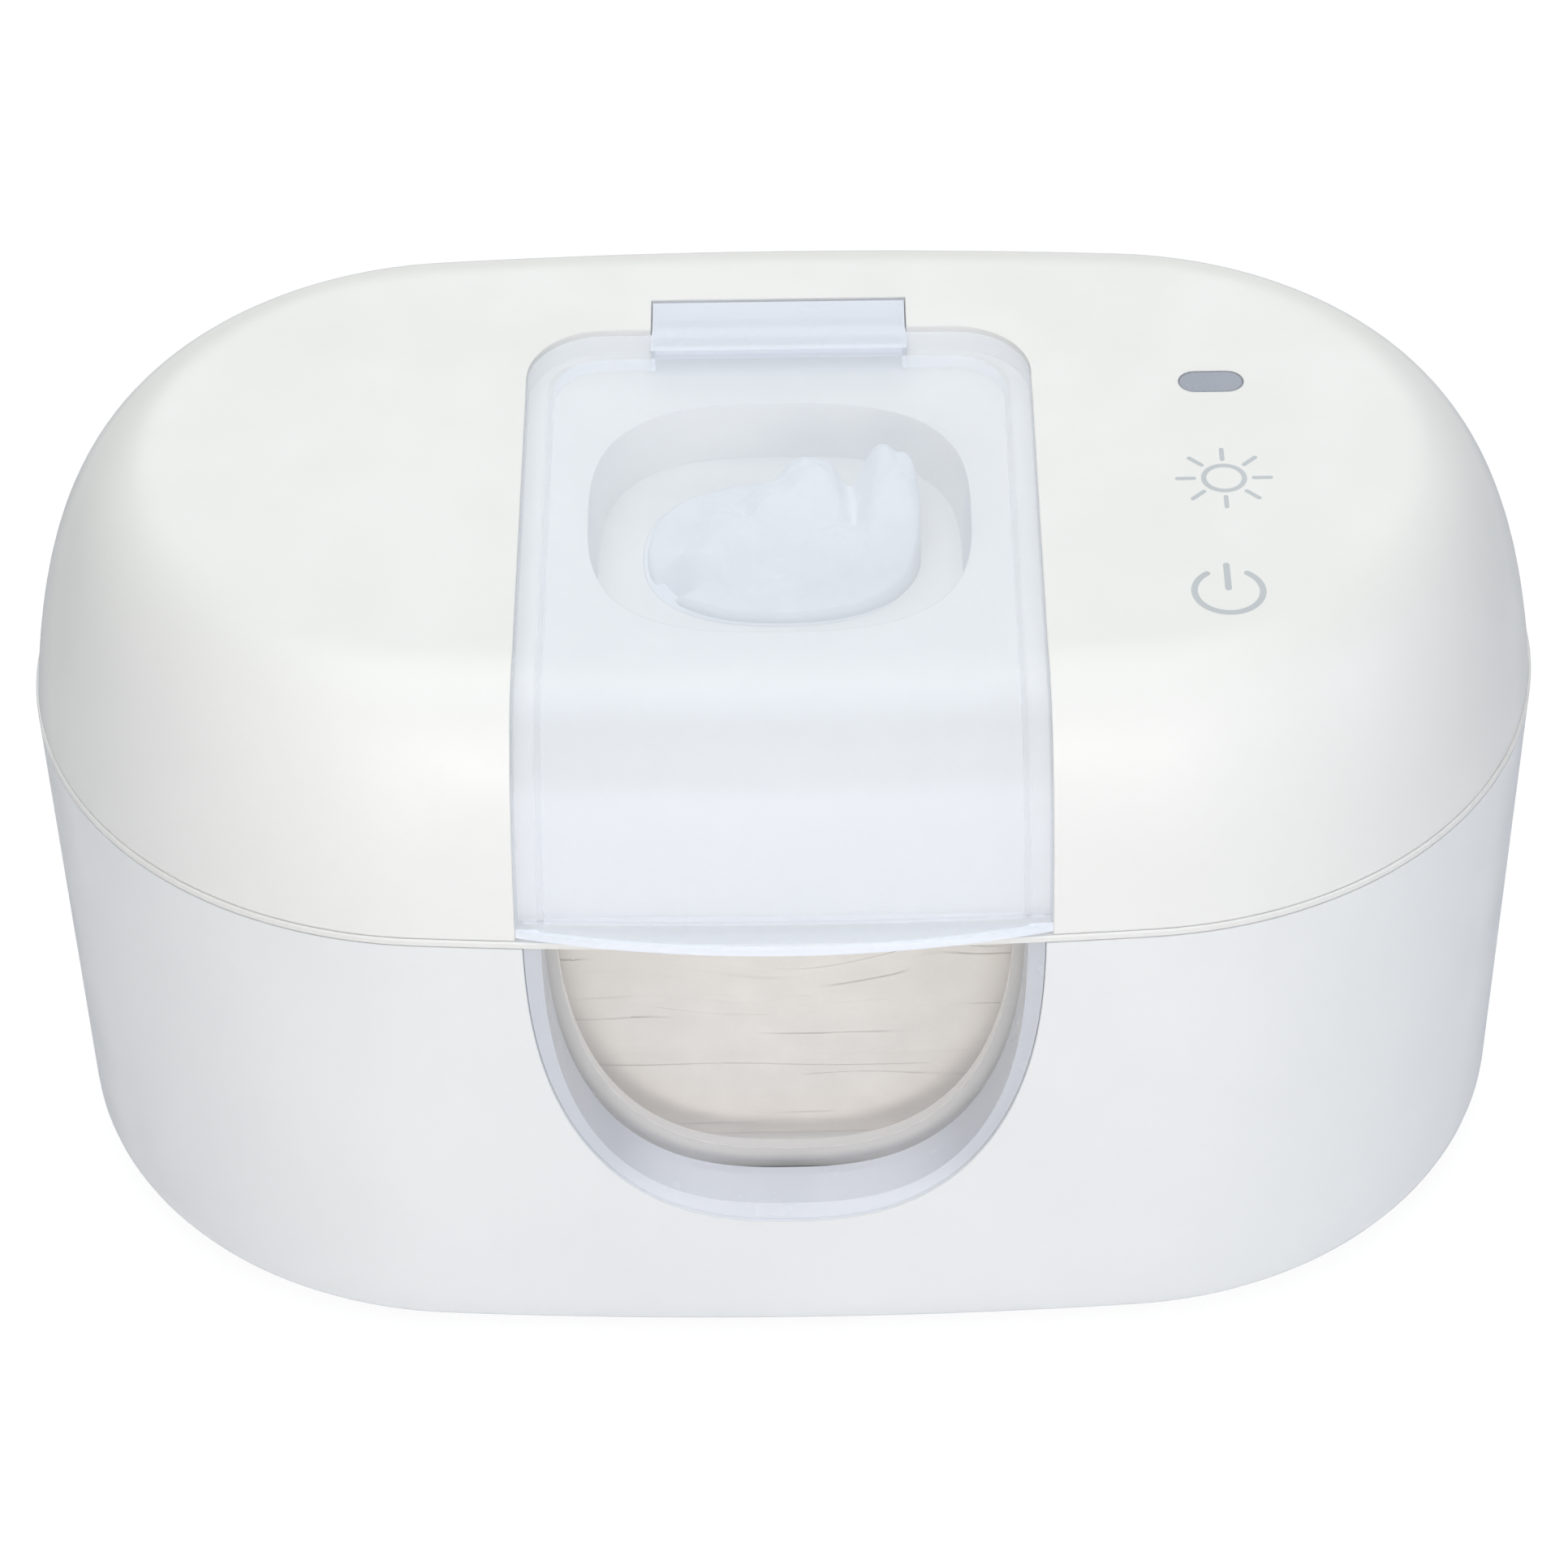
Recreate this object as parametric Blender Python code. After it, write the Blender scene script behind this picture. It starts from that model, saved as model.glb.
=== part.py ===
"""Baby wipe warmer: a tapered oval base with a front window, a domed cover hinged at the back and a
see-through flip lid over the dispensing mouth.

Units are metres, +Z is up, X runs to the right and the front faces -Y. Every shape is drawn about the
middle of the body, and one empty then sets the whole box over the origin.
"""

import math

import bmesh
import bpy
from mathutils import Vector

# Overall form
LENGTH = 0.236
DEPTH = 0.138
SIDE_BOW = 0.0018
TOP_HEIGHT = 0.1295
DOME_HEIGHT = 0.0405
FOOT_STAND = 0.0015
BASE_DRAFT = math.radians(1.44)
BASE_FILLET = 0.0087
WALL = 0.0022
FIT = 0.0003

# Dome of the cover: a step in from the rim, a drafted side, then a soft shoulder into a flat top
COVER_STEP = 0.0004
COVER_DRAFT = math.radians(6.57)
SIDE_PULL = 0.032
SHOULDER_PULL = 0.009
TOP_INSET = 0.022

# Front window and its notch
NOTCH_WIDTH = 0.0782
NOTCH_BOTTOM = 0.0288
NOTCH_POWER = 2.5
WINDOW_BAND_SIDE = 0.0027
WINDOW_BAND_BOTTOM = 0.0036
WINDOW_POWER = 2.7
WINDOW_SINK = 0.0006
WINDOW_WALL = 0.0016
WINDOW_FLANGE = 0.003
PANE_SETBACK = 0.0087
GASKET_THICK = 0.0007
GASKET_WIDTH = 0.0022
CATCH_WIDTH = 0.0072
CATCH_HEIGHT = 0.0062
CATCH_SLOT = 0.0032
PEG_RADIUS = 0.0019
PEG_SPACING = 0.0324

# Inner tank
TANK_WALL = 0.0018
TANK_FLANGE = 0.0012
TANK_UNDERSIDE = 0.0272
TANK_FILLET = 0.004
TANK_BOSS_RADIUS = 0.0045
TANK_BOSS_END = 0.046
TANK_BOSS_SIDE = 0.045

# Bottom closure, feet and screws
LIP_THICK = 0.002
LIP_WIDTH = 0.0046
PLATE_THICK = 0.0025
PLATE_INSET = 0.0112
PLATE_PAD_HEIGHT = 0.0015
PLATE_PAD_RADIUS = 0.0055
FOOT_RADIUS = 0.007
FOOT_SEAT = 0.001
FOOT_END = 0.042
FOOT_SIDE = 0.029
SCREW_RADIUS = 0.00145
SCREW_HEAD_RADIUS = 0.0028
SCREW_HEAD = 0.0015
SCREW_CHAMFER = 0.0006
SCREW_LENGTH = 0.011
SMALL_SCREW_LENGTH = 0.006

# Heater stack under the tank
SPREADER_END = 0.062
SPREADER_SIDE = 0.027
SPREADER_CORNER = 0.0115
SPREADER_THICK = 0.0015
FILM_MARGIN = 0.002
FILM_THICK = 0.0008
PAD_DEPTH = 0.060
PAD_THICK = 0.005
PAD_CORNER = 0.0058
POST_RADIUS = 0.004
POST_X = 0.040
POST_Y = 0.020
FUSE_RADIUS = 0.002
FUSE_LENGTH = 0.012
SENSOR_RADIUS = 0.0024
SENSOR_X = 0.030

# Main board and power inlet at the back
BOARD_LENGTH = 0.062
BOARD_DEPTH = 0.030
BOARD_THICK = 0.0016
BOARD_POST = 0.0045
BOARD_POST_X = 0.026
BOARD_BACK_GAP = 0.003
CHIP_WIDTH = 0.008
CHIP_DEPTH = 0.006
CHIP_HEIGHT = 0.0014
CHIP_X = 0.015
CHIP_SETBACK = 0.008
COIL_WIDTH = 0.007
COIL_HEIGHT = 0.004
COIL_X = 0.013
CAPACITOR_RADIUS = 0.0032
CAPACITOR_HEIGHT = 0.0072
JACK_WIDTH = 0.0094
JACK_DEPTH = 0.012
JACK_SETBACK = 0.0018
JACK_HEIGHT = 0.0105
JACK_NOSE_RADIUS = 0.0045
JACK_BORE = 0.0031
JACK_BORE_DEPTH = 0.0095
JACK_PIN = 0.001

# Contacts that carry power from base to cover
CONTACT_LENGTH = 0.016
CONTACT_DEPTH = 0.005
CONTACT_HEIGHT = 0.0085
CONTACT_INSET = 0.0040
CONTACT_PIN = 0.0008
CONTACT_PITCH = 0.005

# Cover hinge at the back
HINGE_REACH = 0.0045
HINGE_X = 0.036
KNUCKLE_RADIUS = 0.0041
COVER_KNUCKLE = 0.014
BASE_KNUCKLE = 0.006
KNUCKLE_GAP = 0.0004
HINGE_PIN_RADIUS = 0.0015
KNUCKLE_ARM = 0.011
HEEL_REACH = 0.0055

# Flip lid and the channel that it lies in
LID_WIDTH = 0.0774
LID_BACK = 0.0284
LID_CORNER = 0.0115
LID_SKIN = 0.0016
LID_SKIRT = 0.0039
LID_SKIRT_INSET = 0.0026
LID_SKIRT_WALL = 0.001
LID_FLARE = 0.0009
LID_FLARE_START = 0.048
LID_LIP_REACH = 0.0036
LID_LIP_SPAN = 0.97
LID_LIP_THICK = 0.0013
CHANNEL_DEPTH = 0.0045
CHANNEL_SIDE_GAP = 0.0006
CHANNEL_BACK_GAP = 0.0019
TAB_WIDTH = 0.0386
TAB_GAP = 0.0008
LID_AXIS_Y = 0.0336
LID_BARREL = 0.0036
LID_PIN_RADIUS = 0.001
POCKET_GAP = 0.0011

# Funnel and mouth
FUNNEL_WIDTH = 0.0584
FUNNEL_DEPTH_Y = 0.0560
FUNNEL_Y = -0.0114
FUNNEL_POWER = 2.9
FUNNEL_SINK = 0.0095
FUNNEL_TAPER = 0.0012
MOUTH_WIDTH = 0.042
MOUTH_DEPTH_Y = 0.034
MOUTH_Y = -0.0095
MOUTH_POWER = 2.4
MOUTH_FLANGE = 0.004
MOUTH_RUBBER = 0.002
MOUTH_WELL_FLOOR = 0.0012
MOUTH_LIP = 0.0022
SLOT_WIDTH = 0.034
SLOT_DEPTH_Y = 0.025
COLLAR_WALL = 0.002

# Cover liner, seal and what they carry
LINER_LIFT = 0.0023
LINER_THICK = 0.002
SEAL_INSET = 0.0098
SEAL_WIDTH = 0.0026
LINER_BOSS_RADIUS = 0.0036
LINER_BOSS_END = 0.032
LINER_BOSS_SIDE = 0.051
LAMP_LENGTH = 0.044
LAMP_DEPTH = 0.007
LAMP_THICK = 0.0012
LAMP_Y = -0.049
DIFFUSER_MARGIN = 0.001
LAMP_CHIP_LENGTH = 0.002
LAMP_CHIP_DEPTH = 0.0012
LAMP_CHIP_HEIGHT = 0.0006

# Touch panel on the right of the cover
TOUCH_END = 0.0508
POWER_KEY_Y = -0.0367
LIGHT_KEY_Y = -0.0095
LENS_Y = 0.0150
TOUCH_BOARD_WIDTH = 0.018
TOUCH_BOARD_THICK = 0.0012
TOUCH_BOARD_DROP = 0.0075
TOUCH_BOARD_MARGIN = 0.005
TOUCH_BOSS_RADIUS = 0.003
SPRING_RADIUS = 0.0032
SPRING_WIRE = 0.0003
SPRING_TURNS = 3
LENS_LENGTH = 0.0101
LENS_WIDTH = 0.0054
LENS_FLANGE = 0.0012

# Wipes
STACK_END = 0.043
STACK_SIDE = 0.019
STACK_HEADROOM = 0.0117
STACK_CORNER = 0.014
TUFT_WIDTH = 0.040
TUFT_DEPTH_Y = 0.031
TUFT_PEAK = 0.0102
TUFT_NECK_WIDTH = 0.017
TUFT_NECK_DEPTH_Y = 0.010
TUFT_NECK_LENGTH = 0.006

WIRE_RADIUS = 0.0009
CABLE_RADIUS = 0.0012
LEAD_STEP = 0.002

# How finely curves are cut into faces
END_STEPS = 24
HIDDEN_END_STEPS = 12
SIDE_STEPS = 6
PROFILE_STEPS = 8
HIDDEN_PROFILE_STEPS = 4
FILLET_STEPS = 4
HIDDEN_FILLET_STEPS = 2
ROUND_STEPS = 16
BARREL_STEPS = 20
HOLE_STEPS = 10
MOUTH_STEPS = 24
NOTCH_STEPS = 24
WIRE_STEPS = 3
SPRING_STEPS = 9

# Heights and places that follow from the sizes above
RIM_HEIGHT = TOP_HEIGHT - DOME_HEIGHT
TANK_BOSS_X = LENGTH / 2 - TANK_BOSS_END
TANK_BOSS_Y = DEPTH / 2 - TANK_BOSS_SIDE
FOOT_X = LENGTH / 2 - FOOT_END
FOOT_Y = DEPTH / 2 - FOOT_SIDE
LINER_BOSS_X = LENGTH / 2 - LINER_BOSS_END
LINER_BOSS_Y = DEPTH / 2 - LINER_BOSS_SIDE
TOUCH_X = LENGTH / 2 - TOUCH_END
SPREADER_LENGTH = LENGTH - 2 * SPREADER_END
SPREADER_DEPTH = DEPTH - 2 * SPREADER_SIDE
END_RADIUS = DEPTH / 2 - SIDE_BOW
END_X = LENGTH / 2 - END_RADIUS
SIDE_RADIUS = (END_X**2 + (DEPTH / 2) ** 2 - END_RADIUS**2) / (2 * SIDE_BOW)
CASING_TOP = RIM_HEIGHT - TANK_FLANGE - FIT
COVER_BOTTOM = RIM_HEIGHT + FIT
PANE_INSET = PANE_SETBACK + WINDOW_WALL
TANK_INSET = PANE_INSET + 2 * FIT + GASKET_THICK
TANK_FLOOR = TANK_UNDERSIDE + TANK_WALL
STACK_LENGTH = LENGTH - 2 * STACK_END
STACK_DEPTH = DEPTH - 2 * STACK_SIDE
STACK_HEIGHT = RIM_HEIGHT - STACK_HEADROOM - TANK_FLOOR - FIT
PLATE_TOP = FOOT_STAND + PLATE_THICK
LIP_UNDERSIDE = PLATE_TOP + FIT
SPREADER_TOP = TANK_UNDERSIDE - FIT
FILM_TOP = SPREADER_TOP - SPREADER_THICK - FIT
PAD_TOP = FILM_TOP - FILM_THICK - FIT
POST_TOP = PAD_TOP - PAD_THICK - FIT
BOARD_TOP = PLATE_TOP + BOARD_POST + FIT + BOARD_THICK
BOARD_BACK = DEPTH / 2 - RIM_HEIGHT * math.tan(BASE_DRAFT) - WALL - BOARD_BACK_GAP
BOARD_Y = BOARD_BACK - BOARD_DEPTH / 2
JACK_Z = BOARD_TOP + FIT + JACK_HEIGHT / 2
HINGE_Y = DEPTH / 2 + HINGE_REACH
HINGE_Z = RIM_HEIGHT + FIT / 2
LID_AXIS_Z = TOP_HEIGHT - LID_BARREL
CHANNEL_FLOOR = TOP_HEIGHT - CHANNEL_DEPTH
FUNNEL_FLOOR = CHANNEL_FLOOR - FUNNEL_SINK
MOUTH_TOP = FUNNEL_FLOOR - WALL - FIT
LINER_UNDERSIDE = RIM_HEIGHT + LINER_LIFT
LINER_TOP = LINER_UNDERSIDE + LINER_THICK
COLLAR_TOP = MOUTH_TOP - MOUTH_RUBBER - FIT
TOP_UNDERSIDE = TOP_HEIGHT - WALL
TOUCH_BOARD_TOP = TOP_UNDERSIDE - TOUCH_BOARD_DROP
FRONT_REACH = DEPTH / 2 - COVER_STEP + LID_LIP_REACH
BACK_REACH = HINGE_Y + HEEL_REACH


def clear_scene():
    for obj in list(bpy.data.objects):
        bpy.data.objects.remove(obj, do_unlink=True)


def add_empty(name, location, parent=None):
    empty = bpy.data.objects.new(name, None)
    empty.empty_display_size = 0.01
    empty.location = location
    empty.parent = parent
    bpy.context.scene.collection.objects.link(empty)
    return empty


clear_scene()
BODY = add_empty("body_middle", (0, (FRONT_REACH - BACK_REACH) / 2, 0))
COVER_AXIS = add_empty("cover_axis", (0, HINGE_Y, HINGE_Z), BODY)
LID_AXIS = add_empty("lid_axis", (0, LID_AXIS_Y - HINGE_Y, LID_AXIS_Z - HINGE_Z), COVER_AXIS)


def make_material(name, colour, roughness, metallic=0.0, see_through=0.0):
    material = bpy.data.materials.new(name)
    material.use_nodes = True
    shader = material.node_tree.nodes["Principled BSDF"]
    shader.inputs["Base Color"].default_value = (*colour, 1)
    shader.inputs["Roughness"].default_value = roughness
    shader.inputs["Metallic"].default_value = metallic
    shader.inputs["Transmission Weight"].default_value = see_through
    return material


MATERIALS = {
    "casing_plastic": make_material("casing_plastic", (0.86, 0.88, 0.88), 0.42),
    "cover_plastic": make_material("cover_plastic", (0.90, 0.90, 0.87), 0.42),
    "tank_plastic": make_material("tank_plastic", (0.85, 0.87, 0.90), 0.35, 0.0, 0.3),
    "clear_plastic": make_material("clear_plastic", (0.80, 0.85, 0.94), 0.15, 0.0, 0.8),
    "lens_plastic": make_material("lens_plastic", (0.42, 0.46, 0.53), 0.25, 0.0, 0.3),
    "grey_rubber": make_material("grey_rubber", (0.55, 0.56, 0.60), 0.70),
    "mouth_silicone": make_material("mouth_silicone", (0.66, 0.68, 0.78), 0.55),
    "steel": make_material("steel", (0.62, 0.63, 0.65), 0.30, 1.0),
    "aluminium": make_material("aluminium", (0.78, 0.79, 0.80), 0.35, 1.0),
    "heater_film": make_material("heater_film", (0.70, 0.36, 0.10), 0.35),
    "foam": make_material("foam", (0.30, 0.30, 0.31), 0.95),
    "circuit_board": make_material("circuit_board", (0.05, 0.24, 0.12), 0.45),
    "black_plastic": make_material("black_plastic", (0.03, 0.03, 0.03), 0.45),
    "wire": make_material("wire", (0.60, 0.06, 0.05), 0.50),
    "wipe_cloth": make_material("wipe_cloth", (0.90, 0.90, 0.92), 0.95),
}


def add_solid(name, rings, smooth_angle=35.0):
    """Skins a row of rings, each with as many points as the next, and caps both ends.

    Seen from the last ring's side, the rings run anticlockwise.
    """
    mesh = bpy.data.meshes.new(name)
    work = bmesh.new()
    rows = [[work.verts.new(point) for point in ring] for ring in rings]
    count = len(rows[0])
    for low, high in zip(rows, rows[1:]):
        for i in range(count):
            j = (i + 1) % count
            work.faces.new((low[i], low[j], high[j], high[i]))
    work.faces.new(list(reversed(rows[0])))
    work.faces.new(rows[-1])
    work.to_mesh(mesh)
    work.free()
    return add_mesh(name, mesh, smooth_angle)


def add_mesh(name, mesh, smooth_angle=35.0):
    mesh.shade_smooth()
    mesh.set_sharp_from_angle(angle=math.radians(smooth_angle))
    obj = bpy.data.objects.new(name, mesh)
    obj.parent = BODY
    bpy.context.scene.collection.objects.link(obj)
    return obj


def finish_node(obj, material, axis=None):
    """Gives a piece its material and, where it moves, hangs it from the empty on its joint's axis."""
    obj.data.materials.clear()
    obj.data.materials.append(MATERIALS[material])
    if axis:
        obj.parent = axis
        obj.location = -sum_of_locations(axis)
    return obj


def sum_of_locations(empty):
    """Where an empty stands, measured from the middle of the body."""
    place = Vector((0, 0, 0))
    while empty is not BODY:
        place += empty.location
        empty = empty.parent
    return place


def combine(target, other, operation):
    """Adds a Boolean to target and turns other into its hidden operand."""
    modifier = target.modifiers.new(other.name, "BOOLEAN")
    modifier.operation = operation
    modifier.solver = "EXACT"
    modifier.object = other
    other.hide_render = True
    other.display_type = "WIRE"
    return target


def cut(target, *others):
    for other in others:
        combine(target, other, "DIFFERENCE")
    return target


def join(target, *others):
    for other in others:
        combine(target, other, "UNION")
    return target


def keep(target, other):
    return combine(target, other, "INTERSECT")


def arc(centre, radius, start, end, steps):
    """Points on an arc, with both ends, from start to end in radians."""
    angles = [start + (end - start) * i / steps for i in range(steps + 1)]
    return [(centre[0] + radius * math.cos(a), centre[1] + radius * math.sin(a)) for a in angles]


def circle(radius, centre=(0, 0), steps=ROUND_STEPS):
    return arc(centre, radius, 0, 2 * math.pi * (1 - 1 / steps), steps - 1)


def rectangle(left, right, low, high):
    return [(left, low), (right, low), (right, high), (left, high)]


def rounded_rectangle(width, height, radius, centre=(0, 0), steps=5):
    x, y = width / 2 - radius, height / 2 - radius
    corners = (((x, -y), -90), ((x, y), 0), ((-x, y), 90), ((-x, -y), 180))
    points = []
    for (cx, cy), start in corners:
        middle = (centre[0] + cx, centre[1] + cy)
        points += arc(middle, radius, math.radians(start), math.radians(start + 90), steps)
    return points


def superellipse(width, height, power, centre=(0, 0), steps=MOUTH_STEPS):
    points = []
    for i in range(steps):
        angle = 2 * math.pi * i / steps
        x = math.copysign(abs(math.cos(angle)) ** (2 / power), math.cos(angle))
        y = math.copysign(abs(math.sin(angle)) ** (2 / power), math.sin(angle))
        points.append((centre[0] + x * width / 2, centre[1] + y * height / 2))
    return points


def notch_outline(half_width, bottom, top, power, steps=NOTCH_STEPS):
    """A U with a full round bottom, anticlockwise seen from the front."""
    points = []
    for i in range(steps + 1):
        angle = math.pi * (1 + i / steps)
        x = math.copysign(abs(math.cos(angle)) ** (2 / power), math.cos(angle))
        z = abs(math.sin(angle)) ** (2 / power)
        points.append((half_width * x, RIM_HEIGHT - (RIM_HEIGHT - bottom) * z))
    if top > RIM_HEIGHT:
        return points + [(half_width, top), (-half_width, top)]
    kept = [(x, z) for x, z in points if z < top]
    edge = half_width * (1 - ((RIM_HEIGHT - top) / (RIM_HEIGHT - bottom)) ** power) ** (1 / power)
    return [(-edge, top)] + kept + [(edge, top)]


def add_prism(name, outline, axis, low, high):
    """Extrudes an outline along X, Y or Z. Its points are (Y, Z), (X, Z) or (X, Y)."""
    if axis == "X":
        rings = [[(h, a, b) for a, b in outline] for h in (low, high)]
    elif axis == "Y":
        rings = [[(a, h, b) for a, b in outline] for h in (high, low)]
    else:
        rings = [[(a, b, h) for a, b in outline] for h in (low, high)]
    return add_solid(name, rings)


def add_box(name, low, high):
    return add_prism(name, rectangle(low[0], high[0], low[1], high[1]), "Z", low[2], high[2])


def side_reach(x):
    """How far the long side of the rim stands from the middle of the body at a place along it."""
    return DEPTH / 2 - SIDE_RADIUS + math.sqrt(SIDE_RADIUS**2 - x**2)


def oval(inset, end_steps=END_STEPS):
    """Plan of the body, moved in by inset: two long bowed sides and two round ends, all tangent."""
    side_y = SIDE_RADIUS - DEPTH / 2
    turn = math.atan2(END_X, side_y)
    side = SIDE_RADIUS - inset
    end = END_RADIUS - inset
    quarter = math.pi / 2
    points = arc((0, side_y), side, -quarter - turn, -quarter + turn, SIDE_STEPS)[:-1]
    points += arc((END_X, 0), end, -quarter + turn, quarter - turn, end_steps)[:-1]
    points += arc((0, -side_y), side, quarter - turn, quarter + turn, SIDE_STEPS)[:-1]
    points += arc((-END_X, 0), end, quarter + turn, 3 * quarter - turn, end_steps)[:-1]
    return points


def add_oval(name, profile, end_steps=END_STEPS):
    """A solid with the body's plan, from (inset, height) pairs that run from the bottom up."""
    return add_solid(name, [[(x, y, z) for x, y in oval(inset, end_steps)] for inset, z in profile])


def add_hidden_oval(name, profile):
    """The same, with the coarser ends that do where nobody looks."""
    return add_oval(name, profile, HIDDEN_END_STEPS)


def wall_inset(z):
    """How far the drafted base wall stands inside the rim at a height."""
    return (RIM_HEIGHT - z) * math.tan(BASE_DRAFT)


def base_profile(offset, fillet, bottom, top, steps=HIDDEN_FILLET_STEPS):
    """Up the base wall, moved in by offset, over a rounded bottom edge."""
    middle = (wall_inset(bottom + fillet) + offset + fillet, bottom + fillet)
    quarter = math.pi / 2
    rounded = arc(middle, fillet, -quarter, -2 * quarter, steps)
    return rounded + [(wall_inset(top) + offset, top)]


def wall_slab(name, outer, inner, low, high):
    """The layer of the base wall between two offsets from its outer face."""
    slab = add_hidden_oval(name, [(wall_inset(z) + outer, z) for z in (low, high)])
    core = [(wall_inset(z) + inner, z) for z in (low - WALL, high + WALL)]
    return cut(slab, add_hidden_oval(name + "_core", core))


def cover_profile(offset, bottom, steps=PROFILE_STEPS):
    """Up the dome, moved in by offset along its normal, from a bottom height to the flat top."""
    run = math.tan(COVER_DRAFT)
    handles = (
        (COVER_STEP, COVER_BOTTOM),
        (COVER_STEP + SIDE_PULL * math.sin(COVER_DRAFT), COVER_BOTTOM + SIDE_PULL * math.cos(COVER_DRAFT)),
        (TOP_INSET - SHOULDER_PULL, TOP_HEIGHT),
        (TOP_INSET, TOP_HEIGHT),
    )
    points = []
    for i in range(steps + 1):
        t = i / steps
        weights = ((1 - t) ** 3, 3 * t * (1 - t) ** 2, 3 * t * t * (1 - t), t**3)
        slopes = (-((1 - t) ** 2), (1 - t) ** 2 - 2 * t * (1 - t), 2 * t * (1 - t) - t * t, t * t)
        place = [sum(w * h[k] for w, h in zip(weights, handles)) for k in (0, 1)]
        along = [sum(s * h[k] for s, h in zip(slopes, handles)) for k in (0, 1)]
        length = math.hypot(*along)
        points.append((place[0] + offset * along[1] / length, place[1] - offset * along[0] / length))
    first = points[0]
    if bottom < first[1]:
        return [(first[0] - (first[1] - bottom) * run, bottom)] + points
    kept = [point for point in points if point[1] > bottom + FIT]
    return [(first[0] + (bottom - first[1]) * run, bottom)] + kept


def add_cylinder(name, radius, axis, centre, low, high, steps=ROUND_STEPS):
    return add_prism(name, circle(radius, centre, steps), axis, low, high)


def add_hole(name, radius, centre, low, high):
    """An upright cutter for a screw's hole or its head."""
    return add_cylinder(name, radius, "Z", centre, low, high, HOLE_STEPS)


def add_wire(name, route, radius, material, axis=None):
    """A lead along a smooth curve through the points of its route."""
    points = []
    padded = [route[0]] + list(route) + [route[-1]]
    spans = WIRE_STEPS
    for i in range(len(route) - 1):
        a, b, c, d = (Vector(p) for p in padded[i : i + 4])
        for k in range(spans):
            t = k / spans
            points.append(
                0.5 * (2 * b + (c - a) * t + (2 * a - 5 * b + 4 * c - d) * t**2 + (3 * b - a - 3 * c + d) * t**3)
            )
    points.append(Vector(route[-1]))
    curve = bpy.data.curves.new(name, "CURVE")
    curve.dimensions = "3D"
    curve.bevel_depth = radius
    curve.bevel_resolution = 1
    curve.use_fill_caps = True
    spline = curve.splines.new("POLY")
    spline.points.add(len(points) - 1)
    for slot, point in zip(spline.points, points):
        slot.co = (*point, 1)
    obj = bpy.data.objects.new(name, curve)
    obj.parent = BODY
    bpy.context.scene.collection.objects.link(obj)
    return finish_node(obj, material, axis)


def mirrored_pairs(x, y):
    return [(sx * x, sy * y) for sy in (-1, 1) for sx in (-1, 1)]


# Base


def base_knuckle_outline():
    """Side view of a fixed hinge knuckle, with the heel that stops the cover when it leans back."""
    inside = side_reach(HINGE_X + COVER_KNUCKLE) - WALL - HINGE_Y
    under_flange = CASING_TOP - HINGE_Z - FIT
    places = [
        (inside, -KNUCKLE_ARM),
        (-KNUCKLE_RADIUS, -KNUCKLE_ARM),
        (HEEL_REACH, -WALL),
        (HEEL_REACH, KNUCKLE_RADIUS),
    ]
    places += arc((0, 0), KNUCKLE_RADIUS, math.pi / 2, math.pi, 6)
    places += [(-KNUCKLE_RADIUS, under_flange), (inside, under_flange)]
    return [(HINGE_Y + y, HINGE_Z + z) for y, z in places]


def knuckle_spans():
    """Left and right end, along X, of each fixed knuckle of both hinges."""
    near = COVER_KNUCKLE / 2 + KNUCKLE_GAP
    spans = []
    for middle in (-HINGE_X, HINGE_X):
        spans.append((middle - near - BASE_KNUCKLE, middle - near))
        spans.append((middle + near, middle + near + BASE_KNUCKLE))
    return spans


def make_base_casing():
    outer = base_profile(0, BASE_FILLET, FOOT_STAND, CASING_TOP, FILLET_STEPS)
    casing = add_oval("base_casing", outer)
    inner_fillet = BASE_FILLET - WALL
    cavity = base_profile(WALL, inner_fillet, LIP_UNDERSIDE + LIP_THICK, CASING_TOP + WALL)
    cut(casing, add_hidden_oval("casing_cavity", cavity))
    step = [(PLATE_INSET, FOOT_STAND - WALL), (PLATE_INSET, LIP_UNDERSIDE)]
    hole = [(PLATE_INSET + LIP_WIDTH, FOOT_STAND - WALL), (PLATE_INSET + LIP_WIDTH, CASING_TOP)]
    cut(casing, add_hidden_oval("casing_step", step), add_hidden_oval("casing_floor_hole", hole))
    outline = notch_outline(NOTCH_WIDTH / 2, NOTCH_BOTTOM, RIM_HEIGHT + WALL, NOTCH_POWER)
    cut(casing, add_prism("casing_notch", outline, "Y", -DEPTH, -DEPTH / 2 + PANE_SETBACK))
    jack_hole = circle(JACK_NOSE_RADIUS + FIT, (0, JACK_Z), BARREL_STEPS)
    cut(casing, add_prism("casing_jack_hole", jack_hole, "Y", BOARD_BACK, DEPTH))
    for i, (left, right) in enumerate(knuckle_spans()):
        join(casing, add_prism(f"base_knuckle_{i}", base_knuckle_outline(), "X", left, right))
    reach = HINGE_X + COVER_KNUCKLE + BASE_KNUCKLE
    bore_radius = HINGE_PIN_RADIUS + FIT
    cut(casing, add_cylinder("base_hinge_bore", bore_radius, "X", (HINGE_Y, HINGE_Z), -reach, reach))
    slot = (CONTACT_LENGTH / 2 + FIT, CASING_TOP - CONTACT_HEIGHT)
    ledge = wall_slab("contact_ledge", WALL / 2, CONTACT_INSET + CONTACT_DEPTH, slot[1] - WALL, slot[1] - FIT)
    back = add_box("contact_ledge_span", (-slot[0], 0, 0), (slot[0], DEPTH, RIM_HEIGHT))
    join(casing, keep(ledge, back))
    return finish_node(casing, "casing_plastic")


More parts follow.
